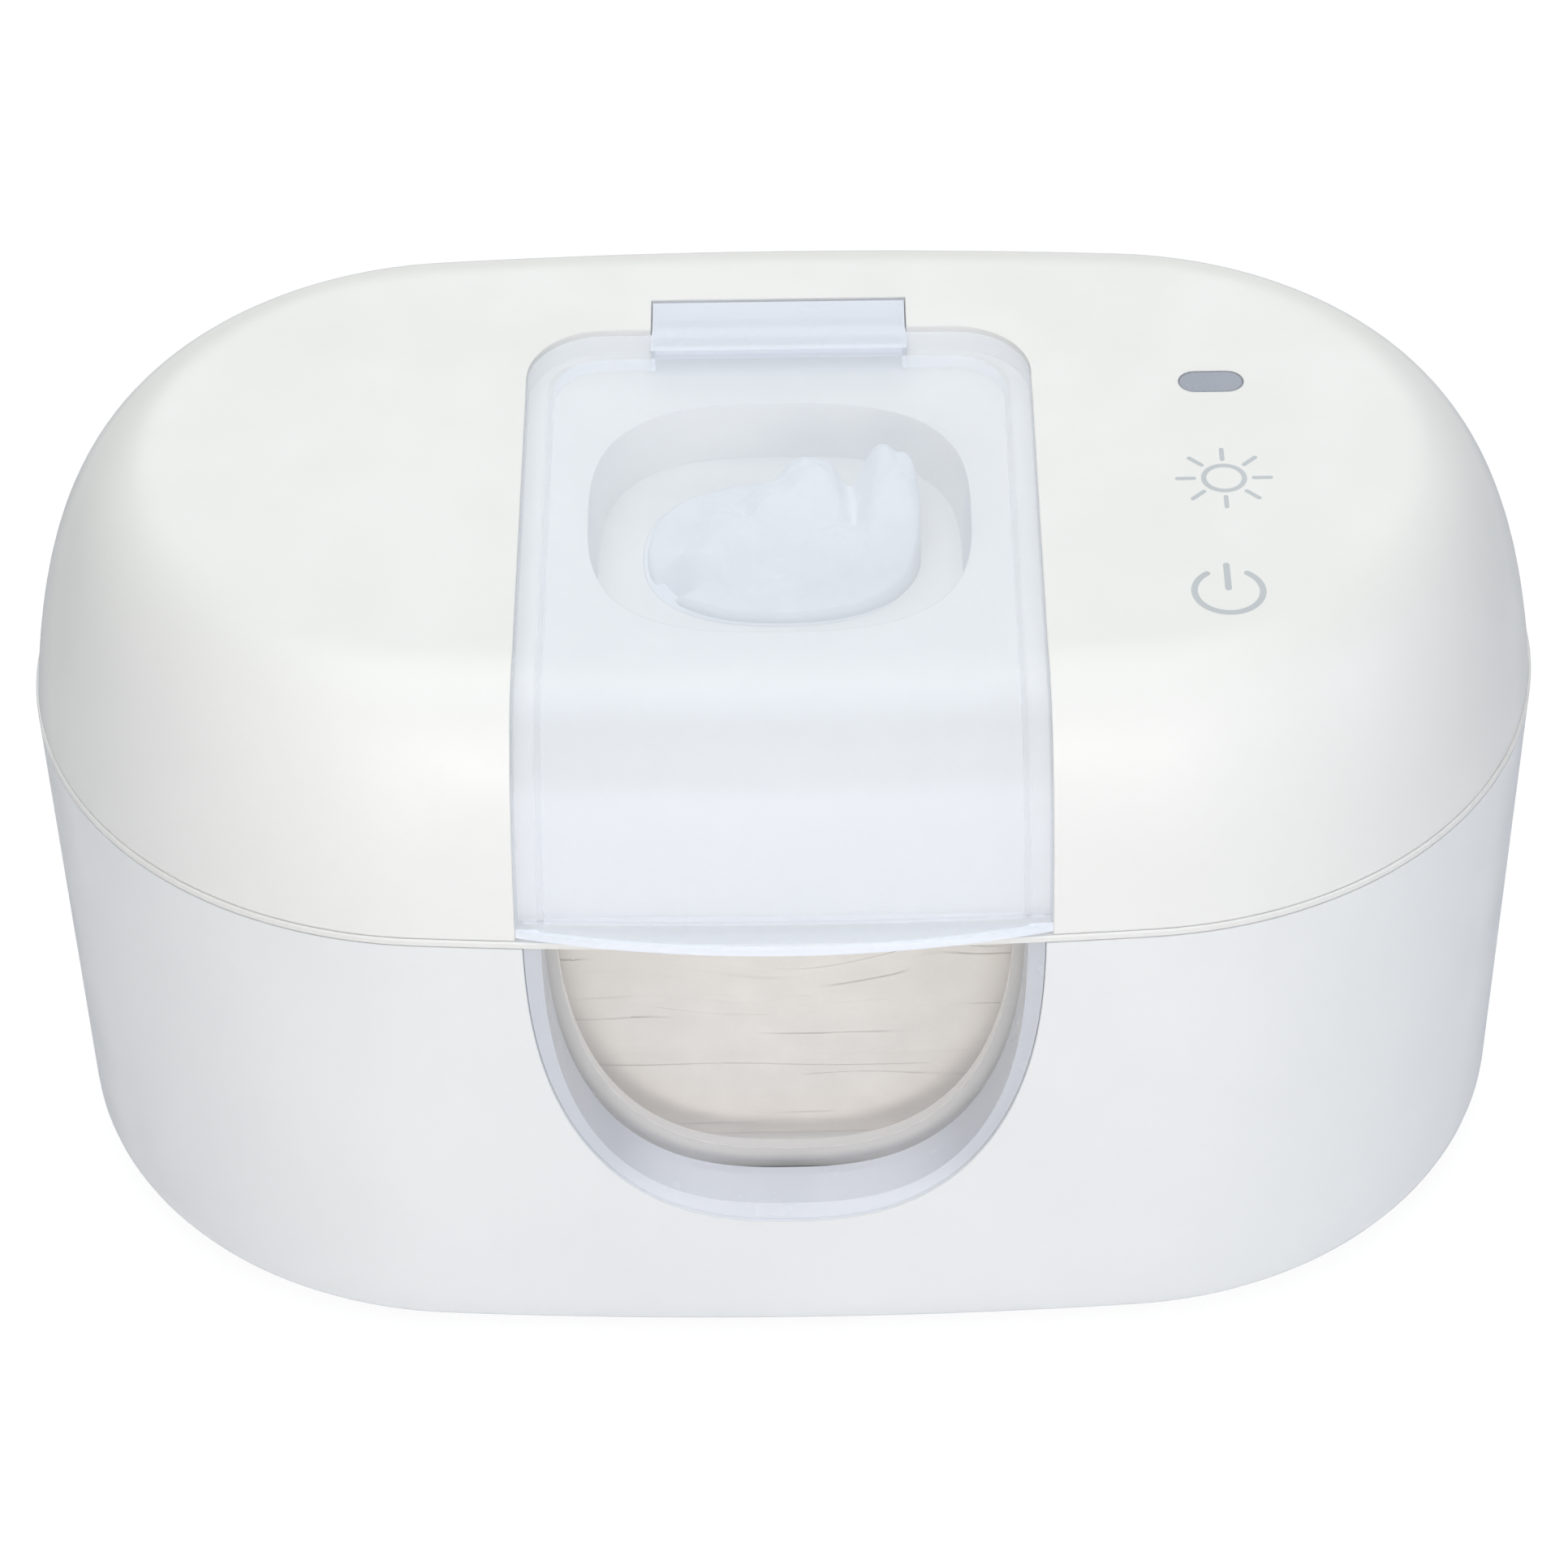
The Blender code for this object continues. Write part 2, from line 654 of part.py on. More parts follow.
def make_bottom_plate():
    outline = oval(PLATE_INSET + FIT, HIDDEN_END_STEPS)
    plate = add_prism("bottom_plate", outline, "Z", FOOT_STAND, PLATE_TOP)
    for i, (x, y) in enumerate(mirrored_pairs(TANK_BOSS_X, TANK_BOSS_Y)):
        pad_top = PLATE_TOP + PLATE_PAD_HEIGHT
        join(plate, add_cylinder(f"plate_pad_{i}", PLATE_PAD_RADIUS, "Z", (x, y), PLATE_TOP - WALL / 2, pad_top))
        hole = add_hole(f"plate_hole_{i}", SCREW_RADIUS + FIT, (x, y), -WALL, pad_top + WALL)
        head_top = FOOT_STAND + SCREW_HEAD + 2 * FIT
        recess = add_hole(f"plate_recess_{i}", SCREW_HEAD_RADIUS + FIT, (x, y), -WALL, head_top)
        cut(plate, hole, recess)
    for i, (x, y) in enumerate(mirrored_pairs(FOOT_X, FOOT_Y)):
        seat = add_cylinder(f"foot_seat_{i}", FOOT_RADIUS + FIT, "Z", (x, y), -WALL, FOOT_STAND + FOOT_SEAT + FIT)
        cut(plate, seat)
    for i, (x, y) in enumerate(mirrored_pairs(POST_X, POST_Y)):
        join(plate, add_cylinder(f"pad_post_{i}", POST_RADIUS, "Z", (x, y), PLATE_TOP - WALL / 2, POST_TOP))
    for i, x in enumerate((-BOARD_POST_X, BOARD_POST_X)):
        post_top = PLATE_TOP + BOARD_POST
        join(plate, add_cylinder(f"board_post_{i}", POST_RADIUS, "Z", (x, BOARD_Y), PLATE_TOP - WALL / 2, post_top))
        pilot = add_hole(f"board_pilot_{i}", SCREW_RADIUS + FIT, (x, BOARD_Y), PLATE_TOP, post_top + WALL)
        cut(plate, pilot)
    return finish_node(plate, "casing_plastic")


def make_feet():
    for i, (x, y) in enumerate(mirrored_pairs(FOOT_X, FOOT_Y)):
        edge = FOOT_STAND / 3
        rings = []
        for radius, z in (
            (FOOT_RADIUS - edge, 0),
            (FOOT_RADIUS, edge),
            (FOOT_RADIUS, FOOT_STAND + FOOT_SEAT),
        ):
            rings.append([(px, py, z) for px, py in circle(radius, (x, y))])
        finish_node(add_solid(f"rubber_foot_{i + 1}", rings), "grey_rubber")


def add_screw(name, x, y, head_low, length, up=1, axis=None):
    """A pan-head screw whose head starts at head_low and whose shank runs up, or down where up is -1."""
    rings = []
    places = (
        (SCREW_HEAD_RADIUS - SCREW_CHAMFER, 0),
        (SCREW_HEAD_RADIUS, SCREW_CHAMFER),
        (SCREW_HEAD_RADIUS, SCREW_HEAD),
        (SCREW_RADIUS, SCREW_HEAD),
        (SCREW_RADIUS, SCREW_HEAD + length),
    )
    for radius, run in places:
        ring = circle(radius, (x, y), HOLE_STEPS)
        rings.append([(px, py, head_low + up * run) for px, py in ring])
    if up < 0:
        rings.reverse()
    return finish_node(add_solid(name, rings), "steel", axis)


def make_base_screws():
    for i, (x, y) in enumerate(mirrored_pairs(TANK_BOSS_X, TANK_BOSS_Y)):
        add_screw(f"base_screw_{i + 1}", x, y, FOOT_STAND + FIT, SCREW_LENGTH)
    for i, x in enumerate((-BOARD_POST_X, BOARD_POST_X)):
        head = BOARD_TOP + FIT + SCREW_HEAD
        add_screw(f"board_screw_{i + 1}", x, BOARD_Y, head, BOARD_POST, up=-1)


# Window and tank


def pane_outline(grow, top):
    half_width = NOTCH_WIDTH / 2 - WINDOW_BAND_SIDE + grow
    return notch_outline(half_width, NOTCH_BOTTOM + WINDOW_BAND_BOTTOM - grow, top, WINDOW_POWER)


def make_viewing_window():
    """A U-shaped dish: a band flush in the notch, a flange behind the casing and a set-back pane."""
    inside = -DEPTH / 2 + 2 * PANE_SETBACK
    behind = WALL + FIT + WINDOW_WALL
    low = NOTCH_BOTTOM - 2 * CATCH_HEIGHT
    outline = notch_outline(NOTCH_WIDTH / 2 - FIT, NOTCH_BOTTOM + FIT, CASING_TOP, NOTCH_POWER)
    window = add_prism("viewing_window", outline, "Y", -DEPTH, inside)
    keep(window, wall_slab("window_band", WINDOW_SINK, behind, low, RIM_HEIGHT))
    wide = NOTCH_WIDTH / 2 + WINDOW_FLANGE
    outline = notch_outline(wide, NOTCH_BOTTOM - WINDOW_FLANGE, CASING_TOP, NOTCH_POWER)
    flange = add_prism("window_flange", outline, "Y", -DEPTH, inside)
    keep(flange, wall_slab("window_flange_layer", WALL + FIT, behind - FIT, low, RIM_HEIGHT))
    dish = add_prism("window_dish", pane_outline(WINDOW_WALL, CASING_TOP), "Y", -DEPTH, inside)
    keep(dish, wall_slab("window_dish_layer", WALL / 2, PANE_INSET, low, RIM_HEIGHT))
    join(window, flange, dish)
    recess = add_prism("window_recess", pane_outline(0, RIM_HEIGHT + WALL), "Y", -DEPTH, inside)
    core = [(wall_inset(z) + PANE_SETBACK, z) for z in (low - WALL, RIM_HEIGHT + 2 * WALL)]
    cut(window, cut(recess, add_hidden_oval("window_recess_core", core)))
    top = NOTCH_BOTTOM + WINDOW_BAND_BOTTOM - WINDOW_WALL / 2
    front = -DEPTH / 2 + wall_inset(top) + behind - WINDOW_WALL / 2
    back = -DEPTH / 2 + wall_inset(top) + PANE_INSET
    half = CATCH_WIDTH / 2
    catch_low = top - CATCH_HEIGHT
    catch = add_box("window_catch", (-half, front, catch_low), (half, back, top))
    slot = add_box(
        "window_catch_slot",
        (-CATCH_SLOT / 2, front + WINDOW_WALL, catch_low - FIT),
        (CATCH_SLOT / 2, back + FIT, catch_low + CATCH_HEIGHT / 2),
    )
    join(window, cut(catch, slot))
    for i, x in enumerate((-PEG_SPACING / 2, PEG_SPACING / 2)):
        peg_z = NOTCH_BOTTOM - PEG_RADIUS / 2
        join(window, add_cylinder(f"window_peg_{i}", PEG_RADIUS, "Y", (x, peg_z), front, back))
    return finish_node(window, "clear_plastic")


def make_window_gasket():
    inside = -DEPTH / 2 + 2 * PANE_SETBACK
    top = CASING_TOP - FIT
    outer = PANE_INSET + FIT
    gasket = add_prism("window_gasket", pane_outline(WINDOW_WALL / 2, top), "Y", -DEPTH, inside)
    keep(gasket, wall_slab("gasket_layer", outer, outer + GASKET_THICK, FOOT_STAND, RIM_HEIGHT))
    hole = pane_outline(WINDOW_WALL / 2 - GASKET_WIDTH, RIM_HEIGHT + WALL)
    cut(gasket, add_prism("gasket_hole", hole, "Y", -DEPTH, inside))
    return finish_node(gasket, "grey_rubber")


def make_wipe_tank():
    outer = base_profile(TANK_INSET, TANK_FILLET, TANK_UNDERSIDE, CASING_TOP + FIT)
    tank = add_hidden_oval("wipe_tank", outer)
    edge = TANK_FLANGE / 4
    low = CASING_TOP + FIT
    flange = [(edge, low), (0, low + edge), (0, RIM_HEIGHT - edge), (edge, RIM_HEIGHT)]
    join(tank, add_oval("tank_flange", flange))
    for i, (x, y) in enumerate(mirrored_pairs(TANK_BOSS_X, TANK_BOSS_Y)):
        boss_low = PLATE_TOP + PLATE_PAD_HEIGHT + FIT
        boss = add_cylinder(f"tank_boss_{i}", TANK_BOSS_RADIUS, "Z", (x, y), boss_low, TANK_FLOOR - FIT)
        screw_end = FOOT_STAND + SCREW_HEAD + SCREW_LENGTH + 2 * WALL
        pilot = add_hole(f"tank_pilot_{i}", SCREW_RADIUS + FIT, (x, y), 0, screw_end)
        cut(join(tank, boss), pilot)
    inside = base_profile(TANK_INSET + TANK_WALL, TANK_FILLET - TANK_WALL, TANK_FLOOR, RIM_HEIGHT + WALL)
    cut(tank, add_hidden_oval("tank_inside", inside))
    hole = pane_outline(WINDOW_WALL / 2 - GASKET_WIDTH, CASING_TOP)
    cut(tank, add_prism("tank_window_hole", hole, "Y", -DEPTH, -DEPTH / 2 + 3 * PANE_SETBACK))
    half = CONTACT_LENGTH / 2 + FIT
    front = DEPTH / 2 - CONTACT_INSET - CONTACT_DEPTH - FIT
    back = DEPTH / 2 - CONTACT_INSET + FIT
    cut(tank, add_box("tank_contact_slot", (-half, front, CASING_TOP - FIT), (half, back, RIM_HEIGHT + WALL)))
    return finish_node(tank, "tank_plastic")


# Heater and electronics in the base


def make_heater():
    spreader = rounded_rectangle(SPREADER_LENGTH, SPREADER_DEPTH, SPREADER_CORNER)
    low = SPREADER_TOP - SPREADER_THICK
    finish_node(add_prism("heat_spreader", spreader, "Z", low, SPREADER_TOP), "aluminium")
    length = SPREADER_LENGTH - 2 * FILM_MARGIN
    film = rounded_rectangle(length, SPREADER_DEPTH - 2 * FILM_MARGIN, SPREADER_CORNER - FILM_MARGIN)
    finish_node(add_prism("heater_film", film, "Z", FILM_TOP - FILM_THICK, FILM_TOP), "heater_film")
    pad = rounded_rectangle(length, PAD_DEPTH, PAD_CORNER)
    finish_node(add_prism("insulation_pad", pad, "Z", PAD_TOP - PAD_THICK, PAD_TOP), "foam")


def film_edge_y():
    """Middle of the strip of heater film that the pad leaves open at the front."""
    return -(PAD_DEPTH / 2 + SPREADER_DEPTH / 2 - FILM_MARGIN) / 2


def make_thermal_fuse():
    place = (film_edge_y(), PAD_TOP - FUSE_RADIUS)
    half = FUSE_LENGTH / 2
    fuse = add_cylinder("thermal_fuse", FUSE_RADIUS, "X", place, -half, half)
    lead = WIRE_RADIUS / 2
    reach = half + FUSE_RADIUS
    join(fuse, add_cylinder("fuse_lead", lead, "X", place, -reach, reach, HOLE_STEPS))
    return finish_node(fuse, "steel")


def make_temperature_sensor():
    centre = (SENSOR_X, film_edge_y())
    tab = SENSOR_RADIUS / 3
    sensor = add_cylinder("temperature_sensor", SENSOR_RADIUS, "Z", centre, PAD_TOP - tab, PAD_TOP)
    bead = add_cylinder("sensor_bead", SENSOR_RADIUS / 2, "Z", centre, PAD_TOP - 3 * tab, PAD_TOP - tab / 2)
    return finish_node(join(sensor, bead), "black_plastic")


def make_main_board():
    outline = rounded_rectangle(BOARD_LENGTH, BOARD_DEPTH, BOARD_THICK, (0, BOARD_Y), 3)
    low = BOARD_TOP - BOARD_THICK
    board = add_prism("main_board", outline, "Z", low, BOARD_TOP)
    for i, x in enumerate((-BOARD_POST_X, BOARD_POST_X)):
        cut(board, add_hole(f"board_hole_{i}", SCREW_RADIUS + FIT, (x, BOARD_Y), 0, RIM_HEIGHT))
    seat = BOARD_TOP - BOARD_THICK / 2
    front = BOARD_Y - BOARD_DEPTH / 2
    chip_y = front + CHIP_SETBACK
    coil_y = front + COIL_WIDTH
    join(
        board,
        add_box(
            "board_chip",
            (-CHIP_X - CHIP_WIDTH / 2, chip_y - CHIP_DEPTH / 2, seat),
            (-CHIP_X + CHIP_WIDTH / 2, chip_y + CHIP_DEPTH / 2, BOARD_TOP + CHIP_HEIGHT),
        ),
        add_box(
            "board_coil",
            (COIL_X - COIL_WIDTH / 2, coil_y - COIL_WIDTH / 2, seat),
            (COIL_X + COIL_WIDTH / 2, coil_y + COIL_WIDTH / 2, BOARD_TOP + COIL_HEIGHT),
        ),
        add_cylinder("board_capacitor", CAPACITOR_RADIUS, "Z", (0, coil_y), seat, BOARD_TOP + CAPACITOR_HEIGHT),
    )
    return finish_node(board, "circuit_board")


def make_power_jack():
    half = JACK_WIDTH / 2
    nose_y = DEPTH / 2 - wall_inset(JACK_Z) - FIT
    back = DEPTH / 2 - wall_inset(JACK_Z) - WALL - JACK_SETBACK
    bottom = BOARD_TOP + FIT
    jack = add_box("power_jack", (-half, back - JACK_DEPTH, bottom), (half, back, bottom + JACK_HEIGHT))
    place = (0, JACK_Z)
    nose = add_cylinder("jack_nose", JACK_NOSE_RADIUS, "Y", place, back - WALL, nose_y, BARREL_STEPS)
    bore = add_cylinder("jack_bore", JACK_BORE, "Y", place, nose_y - JACK_BORE_DEPTH, DEPTH)
    pin_start = nose_y - JACK_BORE_DEPTH - WALL
    pin = add_cylinder("jack_pin", JACK_PIN, "Y", place, pin_start, nose_y - WALL, HOLE_STEPS)
    return finish_node(join(cut(join(jack, nose), bore), pin), "black_plastic")


def make_base_contacts():
    half = CONTACT_LENGTH / 2
    back = DEPTH / 2 - CONTACT_INSET
    low = CASING_TOP - CONTACT_HEIGHT
    block = add_box("base_contact_block", (-half, back - CONTACT_DEPTH, low), (half, back, RIM_HEIGHT - FIT))
    return finish_node(block, "black_plastic")


def make_base_leads():
    """Leads along their real routes: to the heater, to its sensor and up the back to the contacts."""
    board_front = BOARD_Y - BOARD_DEPTH / 2
    edge = WIRE_RADIUS + FIT
    x = POST_X / 2
    heater_route = (
        (x, board_front + 2 * WIRE_RADIUS, BOARD_TOP + edge),
        (x, board_front, BOARD_TOP + edge + WIRE_RADIUS),
        (x, board_front - WIRE_RADIUS, (BOARD_TOP + PAD_TOP) / 2),
        (x, board_front, PAD_TOP - edge - WIRE_RADIUS),
        (x, board_front + 3 * WIRE_RADIUS, PAD_TOP - edge),
    )
    add_wire("heater_lead", heater_route, WIRE_RADIUS, "wire")
    floor = PLATE_TOP + edge
    strip = film_edge_y()
    fuse_end = FUSE_LENGTH / 2 + FUSE_RADIUS + edge
    sensor_route = (
        (-x, board_front - edge, BOARD_TOP),
        (-x, board_front - 2 * edge, (BOARD_TOP + floor) / 2),
        (-x, board_front - 6 * edge, floor),
        (-x, 0, floor),
        (-x, strip + 8 * edge, floor),
        (-x, strip + 3 * edge, floor + 3 * edge),
        (-x + edge, strip + edge, (floor + PAD_TOP) / 2),
        (-x + 3 * edge, strip, PAD_TOP - 4 * edge),
        (-fuse_end, strip, PAD_TOP - FUSE_RADIUS),
    )
    add_wire("sensor_lead", sensor_route, WIRE_RADIUS, "wire")
    gap = CABLE_RADIUS + FIT
    back = DEPTH / 2 - CONTACT_INSET - CONTACT_DEPTH / 2
    side = CONTACT_LENGTH / 2 + gap
    ledge = CASING_TOP - CONTACT_HEIGHT
    wall = side_reach(side) - wall_inset(BOARD_TOP) - WALL - 2 * gap
    contact_route = (
        (side, BOARD_BACK - 3 * gap, BOARD_TOP + gap),
        (side, BOARD_BACK - gap, BOARD_TOP + 2 * gap),
        (side, wall, BOARD_TOP + 6 * gap),
        (side, wall, (BOARD_TOP + ledge) / 2),
        (side, back, ledge - 4 * gap),
        (side, back, ledge + CONTACT_HEIGHT / 2),
    )
    add_wire("contact_lead", contact_route, CABLE_RADIUS, "wire")


# Cover


def lid_outline(grow_side, grow_back):
    """Plan of the flip lid: round back corners, straight sides and a slight flare down the front."""
    half = LID_WIDTH / 2 + grow_side
    back = LID_BACK + grow_back
    corner = LID_CORNER + min(grow_side, grow_back)
    front = -DEPTH
    flare_end = -DEPTH / 2
    slope = LID_FLARE / (flare_end + LID_FLARE_START)
    widest = half + slope * (front + LID_FLARE_START)
    points = [(widest, front), (half, -LID_FLARE_START)]
    points += arc((half - corner, back - corner), corner, 0, math.pi / 2, 6)
    points += arc((corner - half, back - corner), corner, math.pi / 2, math.pi, 6)
    return points + [(-half, -LID_FLARE_START), (-widest, front)]


def channel_envelope(name, grow=0):
    """The channel over the cover for the flip lid, with its floor moved in and its sides out by grow."""
    outline = lid_outline(CHANNEL_SIDE_GAP + grow, CHANNEL_BACK_GAP + grow)
    channel = add_prism(name, outline, "Z", RIM_HEIGHT - 2 * WALL, TOP_HEIGHT + WALL)
    steps = HIDDEN_PROFILE_STEPS if grow else PROFILE_STEPS
    floor = cover_profile(CHANNEL_DEPTH + grow, RIM_HEIGHT - 4 * WALL, steps)
    return cut(channel, add_hidden_oval(name + "_floor", floor))


def funnel_envelope(name, grow, top):
    """The tapered recess round the mouth, with every wall moved out by grow."""
    rings = []
    floor = FUNNEL_FLOOR - grow
    slope = FUNNEL_TAPER / FUNNEL_SINK
    for z in (floor, top):
        spread = 2 * (grow - slope * (CHANNEL_FLOOR - z))
        outline = superellipse(FUNNEL_WIDTH + spread, FUNNEL_DEPTH_Y + spread, FUNNEL_POWER, (0, FUNNEL_Y))
        rings.append([(x, y, z) for x, y in outline])
    return add_solid(name, rings)


def pocket_envelope(name, grow, top):
    """The pocket that the lid's hinge barrel turns in, with every wall moved out by grow."""
    half = TAB_WIDTH / 2 + TAB_GAP + grow
    reach = LID_BARREL + POCKET_GAP + grow
    front = LID_AXIS_Y - reach
    return add_box(name, (-half, front, LID_AXIS_Z - reach), (half, LID_AXIS_Y + reach, top))


def cover_knuckle_outline():
    """Side view of the moving knuckle and the arm that carries it on the cover's back wall."""
    low = COVER_BOTTOM - HINGE_Z + FIT
    inside = side_reach(HINGE_X + COVER_KNUCKLE / 2) - COVER_STEP - WALL / 2 - HINGE_Y
    top_inside = inside - KNUCKLE_ARM * math.tan(COVER_DRAFT)
    places = [(inside, low)]
    places += arc((0, 0), KNUCKLE_RADIUS, math.pi, 2.3 * math.pi, 14)
    places += [(top_inside, low + KNUCKLE_ARM)]
    return [(HINGE_Y + y, HINGE_Z + z) for y, z in places]


def touch_boss_places():
    """The touch board's two screws, each midway between neighbouring keys."""
    return (POWER_KEY_Y + LIGHT_KEY_Y) / 2, (LIGHT_KEY_Y + LENS_Y) / 2


def make_top_cover():
    cover = add_oval("top_cover", cover_profile(0, COVER_BOTTOM))
    cut(cover, channel_envelope("channel_cut"))
    inside = cover_profile(WALL, COVER_BOTTOM - WALL, HIDDEN_PROFILE_STEPS)
    hollow = add_hidden_oval("cover_hollow", inside)
    cut(hollow, channel_envelope("channel_shell", WALL))
    cut(hollow, funnel_envelope("funnel_shell", WALL, TOP_HEIGHT))
    cut(hollow, pocket_envelope("pocket_shell", WALL, TOP_HEIGHT))
    cut(cover, hollow)
    cut(cover, funnel_envelope("funnel_cut", 0, TOP_HEIGHT + WALL))
    cut(cover, pocket_envelope("pocket_cut", 0, TOP_HEIGHT + WALL))
    mouth = superellipse(MOUTH_WIDTH, MOUTH_DEPTH_Y, MOUTH_POWER, (0, MOUTH_Y))
    cut(cover, add_prism("mouth_hole", mouth, "Z", RIM_HEIGHT, TOP_HEIGHT))
    lens = rounded_rectangle(LENS_LENGTH + 2 * FIT, LENS_WIDTH + 2 * FIT, LENS_WIDTH / 2 + FIT - FIT / 10, (TOUCH_X, LENS_Y))
    cut(cover, add_prism("lens_hole", lens, "Z", TOUCH_BOARD_TOP, TOP_HEIGHT + WALL))
    pin_reach = TAB_WIDTH / 2 + TAB_GAP + WALL
    pin_bore = LID_PIN_RADIUS + FIT
    axis = (LID_AXIS_Y, LID_AXIS_Z)
    cut(cover, add_cylinder("lid_pin_bore", pin_bore, "X", axis, -pin_reach, pin_reach))
    into_skin = TOP_HEIGHT - WALL / 2
    for i, (x, y) in enumerate(mirrored_pairs(LINER_BOSS_X, LINER_BOSS_Y)):
        boss = add_cylinder(f"liner_boss_{i}", LINER_BOSS_RADIUS, "Z", (x, y), LINER_TOP + FIT, into_skin)
        limit = cover_profile(WALL / 2, COVER_BOTTOM, HIDDEN_PROFILE_STEPS)
        keep(boss, add_hidden_oval(f"liner_boss_limit_{i}", limit))
        pilot_top = LINER_TOP + SCREW_LENGTH
        pilot = add_hole(f"liner_pilot_{i}", SCREW_RADIUS + FIT, (x, y), RIM_HEIGHT, pilot_top)
        cut(join(cover, boss), pilot)
    for i, y in enumerate(touch_boss_places()):
        boss = add_cylinder(f"touch_boss_{i}", TOUCH_BOSS_RADIUS, "Z", (TOUCH_X, y), TOUCH_BOARD_TOP + FIT, into_skin)
        pilot_top = TOUCH_BOARD_TOP + SMALL_SCREW_LENGTH
        pilot = add_hole(f"touch_pilot_{i}", SCREW_RADIUS + FIT, (TOUCH_X, y), RIM_HEIGHT, pilot_top)
        cut(join(cover, boss), pilot)
    for i, middle in enumerate((-HINGE_X, HINGE_X)):
        half = COVER_KNUCKLE / 2
        join(cover, add_prism(f"cover_knuckle_{i}", cover_knuckle_outline(), "X", middle - half, middle + half))
    reach = HINGE_X + COVER_KNUCKLE
    bore = HINGE_PIN_RADIUS + FIT
    cut(cover, add_cylinder("cover_hinge_bore", bore, "X", (HINGE_Y, HINGE_Z), -reach, reach))
    return finish_node(cover, "cover_plastic", COVER_AXIS)


def make_hinge_pins():
    half = COVER_KNUCKLE / 2 + KNUCKLE_GAP + BASE_KNUCKLE
    for name, middle in (("hinge_pin_left", -HINGE_X), ("hinge_pin_right", HINGE_X)):
        place = (HINGE_Y, HINGE_Z)
        pin = add_cylinder(name, HINGE_PIN_RADIUS, "X", place, middle - half, middle + half)
        finish_node(pin, "steel")


def collar_outline(grow):
    width = MOUTH_WIDTH + 2 * (MOUTH_FLANGE + grow)
    return superellipse(width, MOUTH_DEPTH_Y + 2 * (MOUTH_FLANGE + grow), MOUTH_POWER, (0, MOUTH_Y))


def make_cover_liner():
    """The plate that closes the dome from below, with the collar that guides wipes up to the mouth."""
    liner = add_hidden_oval("cover_liner", [(0, LINER_UNDERSIDE), (0, LINER_TOP)])
    inside = cover_profile(WALL + FIT, COVER_BOTTOM, HIDDEN_PROFILE_STEPS)
    keep(liner, add_hidden_oval("liner_edge", inside))
    cut(liner, channel_envelope("liner_front", WALL + FIT))
    collar = add_prism("liner_collar", collar_outline(0), "Z", LINER_TOP - FIT, COLLAR_TOP)
    throat = add_prism("liner_throat", collar_outline(-COLLAR_WALL), "Z", RIM_HEIGHT, TOP_HEIGHT)
    cut(join(liner, collar), throat)
    for i, (x, y) in enumerate(mirrored_pairs(LINER_BOSS_X, LINER_BOSS_Y)):
        cut(liner, add_hole(f"liner_hole_{i}", SCREW_RADIUS + FIT, (x, y), RIM_HEIGHT, TOP_HEIGHT))
    half = CONTACT_LENGTH / 2 + FIT
    front = DEPTH / 2 - CONTACT_INSET - CONTACT_DEPTH - FIT
    cut(liner, add_box("liner_contact_slot", (-half, front, RIM_HEIGHT), (half, DEPTH, TOP_HEIGHT)))
    slot = rounded_rectangle(LAMP_LENGTH, LAMP_DEPTH, LAMP_DEPTH / 3, (0, LAMP_Y))
    cut(liner, add_prism("liner_lamp_slot", slot, "Z", RIM_HEIGHT, LINER_TOP + WALL))
    return finish_node(liner, "cover_plastic", COVER_AXIS)


def make_cover_seal():
    low, high = COVER_BOTTOM, LINER_UNDERSIDE - FIT
    seal = add_hidden_oval("cover_seal", [(SEAL_INSET, low), (SEAL_INSET, high)])
    inner = SEAL_INSET + SEAL_WIDTH
    cut(seal, add_hidden_oval("seal_hole", [(inner, low - WALL), (inner, high + WALL)]))
    return finish_node(seal, "grey_rubber", COVER_AXIS)


def make_dispensing_mouth():
    """A soft ring under the funnel's floor: its lip stands in the hole and its slot holds the wipe."""
    low = MOUTH_TOP - MOUTH_RUBBER
    mouth = add_prism("dispensing_mouth", collar_outline(0), "Z", low, MOUTH_TOP)
    lip = superellipse(MOUTH_WIDTH - 2 * FIT, MOUTH_DEPTH_Y - 2 * FIT, MOUTH_POWER, (0, MOUTH_Y))
    join(mouth, add_prism("mouth_lip", lip, "Z", low + FIT, FUNNEL_FLOOR))
    well = superellipse(MOUTH_WIDTH - 2 * MOUTH_LIP, MOUTH_DEPTH_Y - 2 * MOUTH_LIP, MOUTH_POWER, (0, MOUTH_Y))
    cut(mouth, add_prism("mouth_well", well, "Z", low + MOUTH_WELL_FLOOR, TOP_HEIGHT))
    slot = superellipse(SLOT_WIDTH, SLOT_DEPTH_Y, MOUTH_POWER, (0, MOUTH_Y))
    cut(mouth, add_prism("mouth_slot", slot, "Z", RIM_HEIGHT, TOP_HEIGHT))
    return finish_node(mouth, "mouth_silicone", COVER_AXIS)


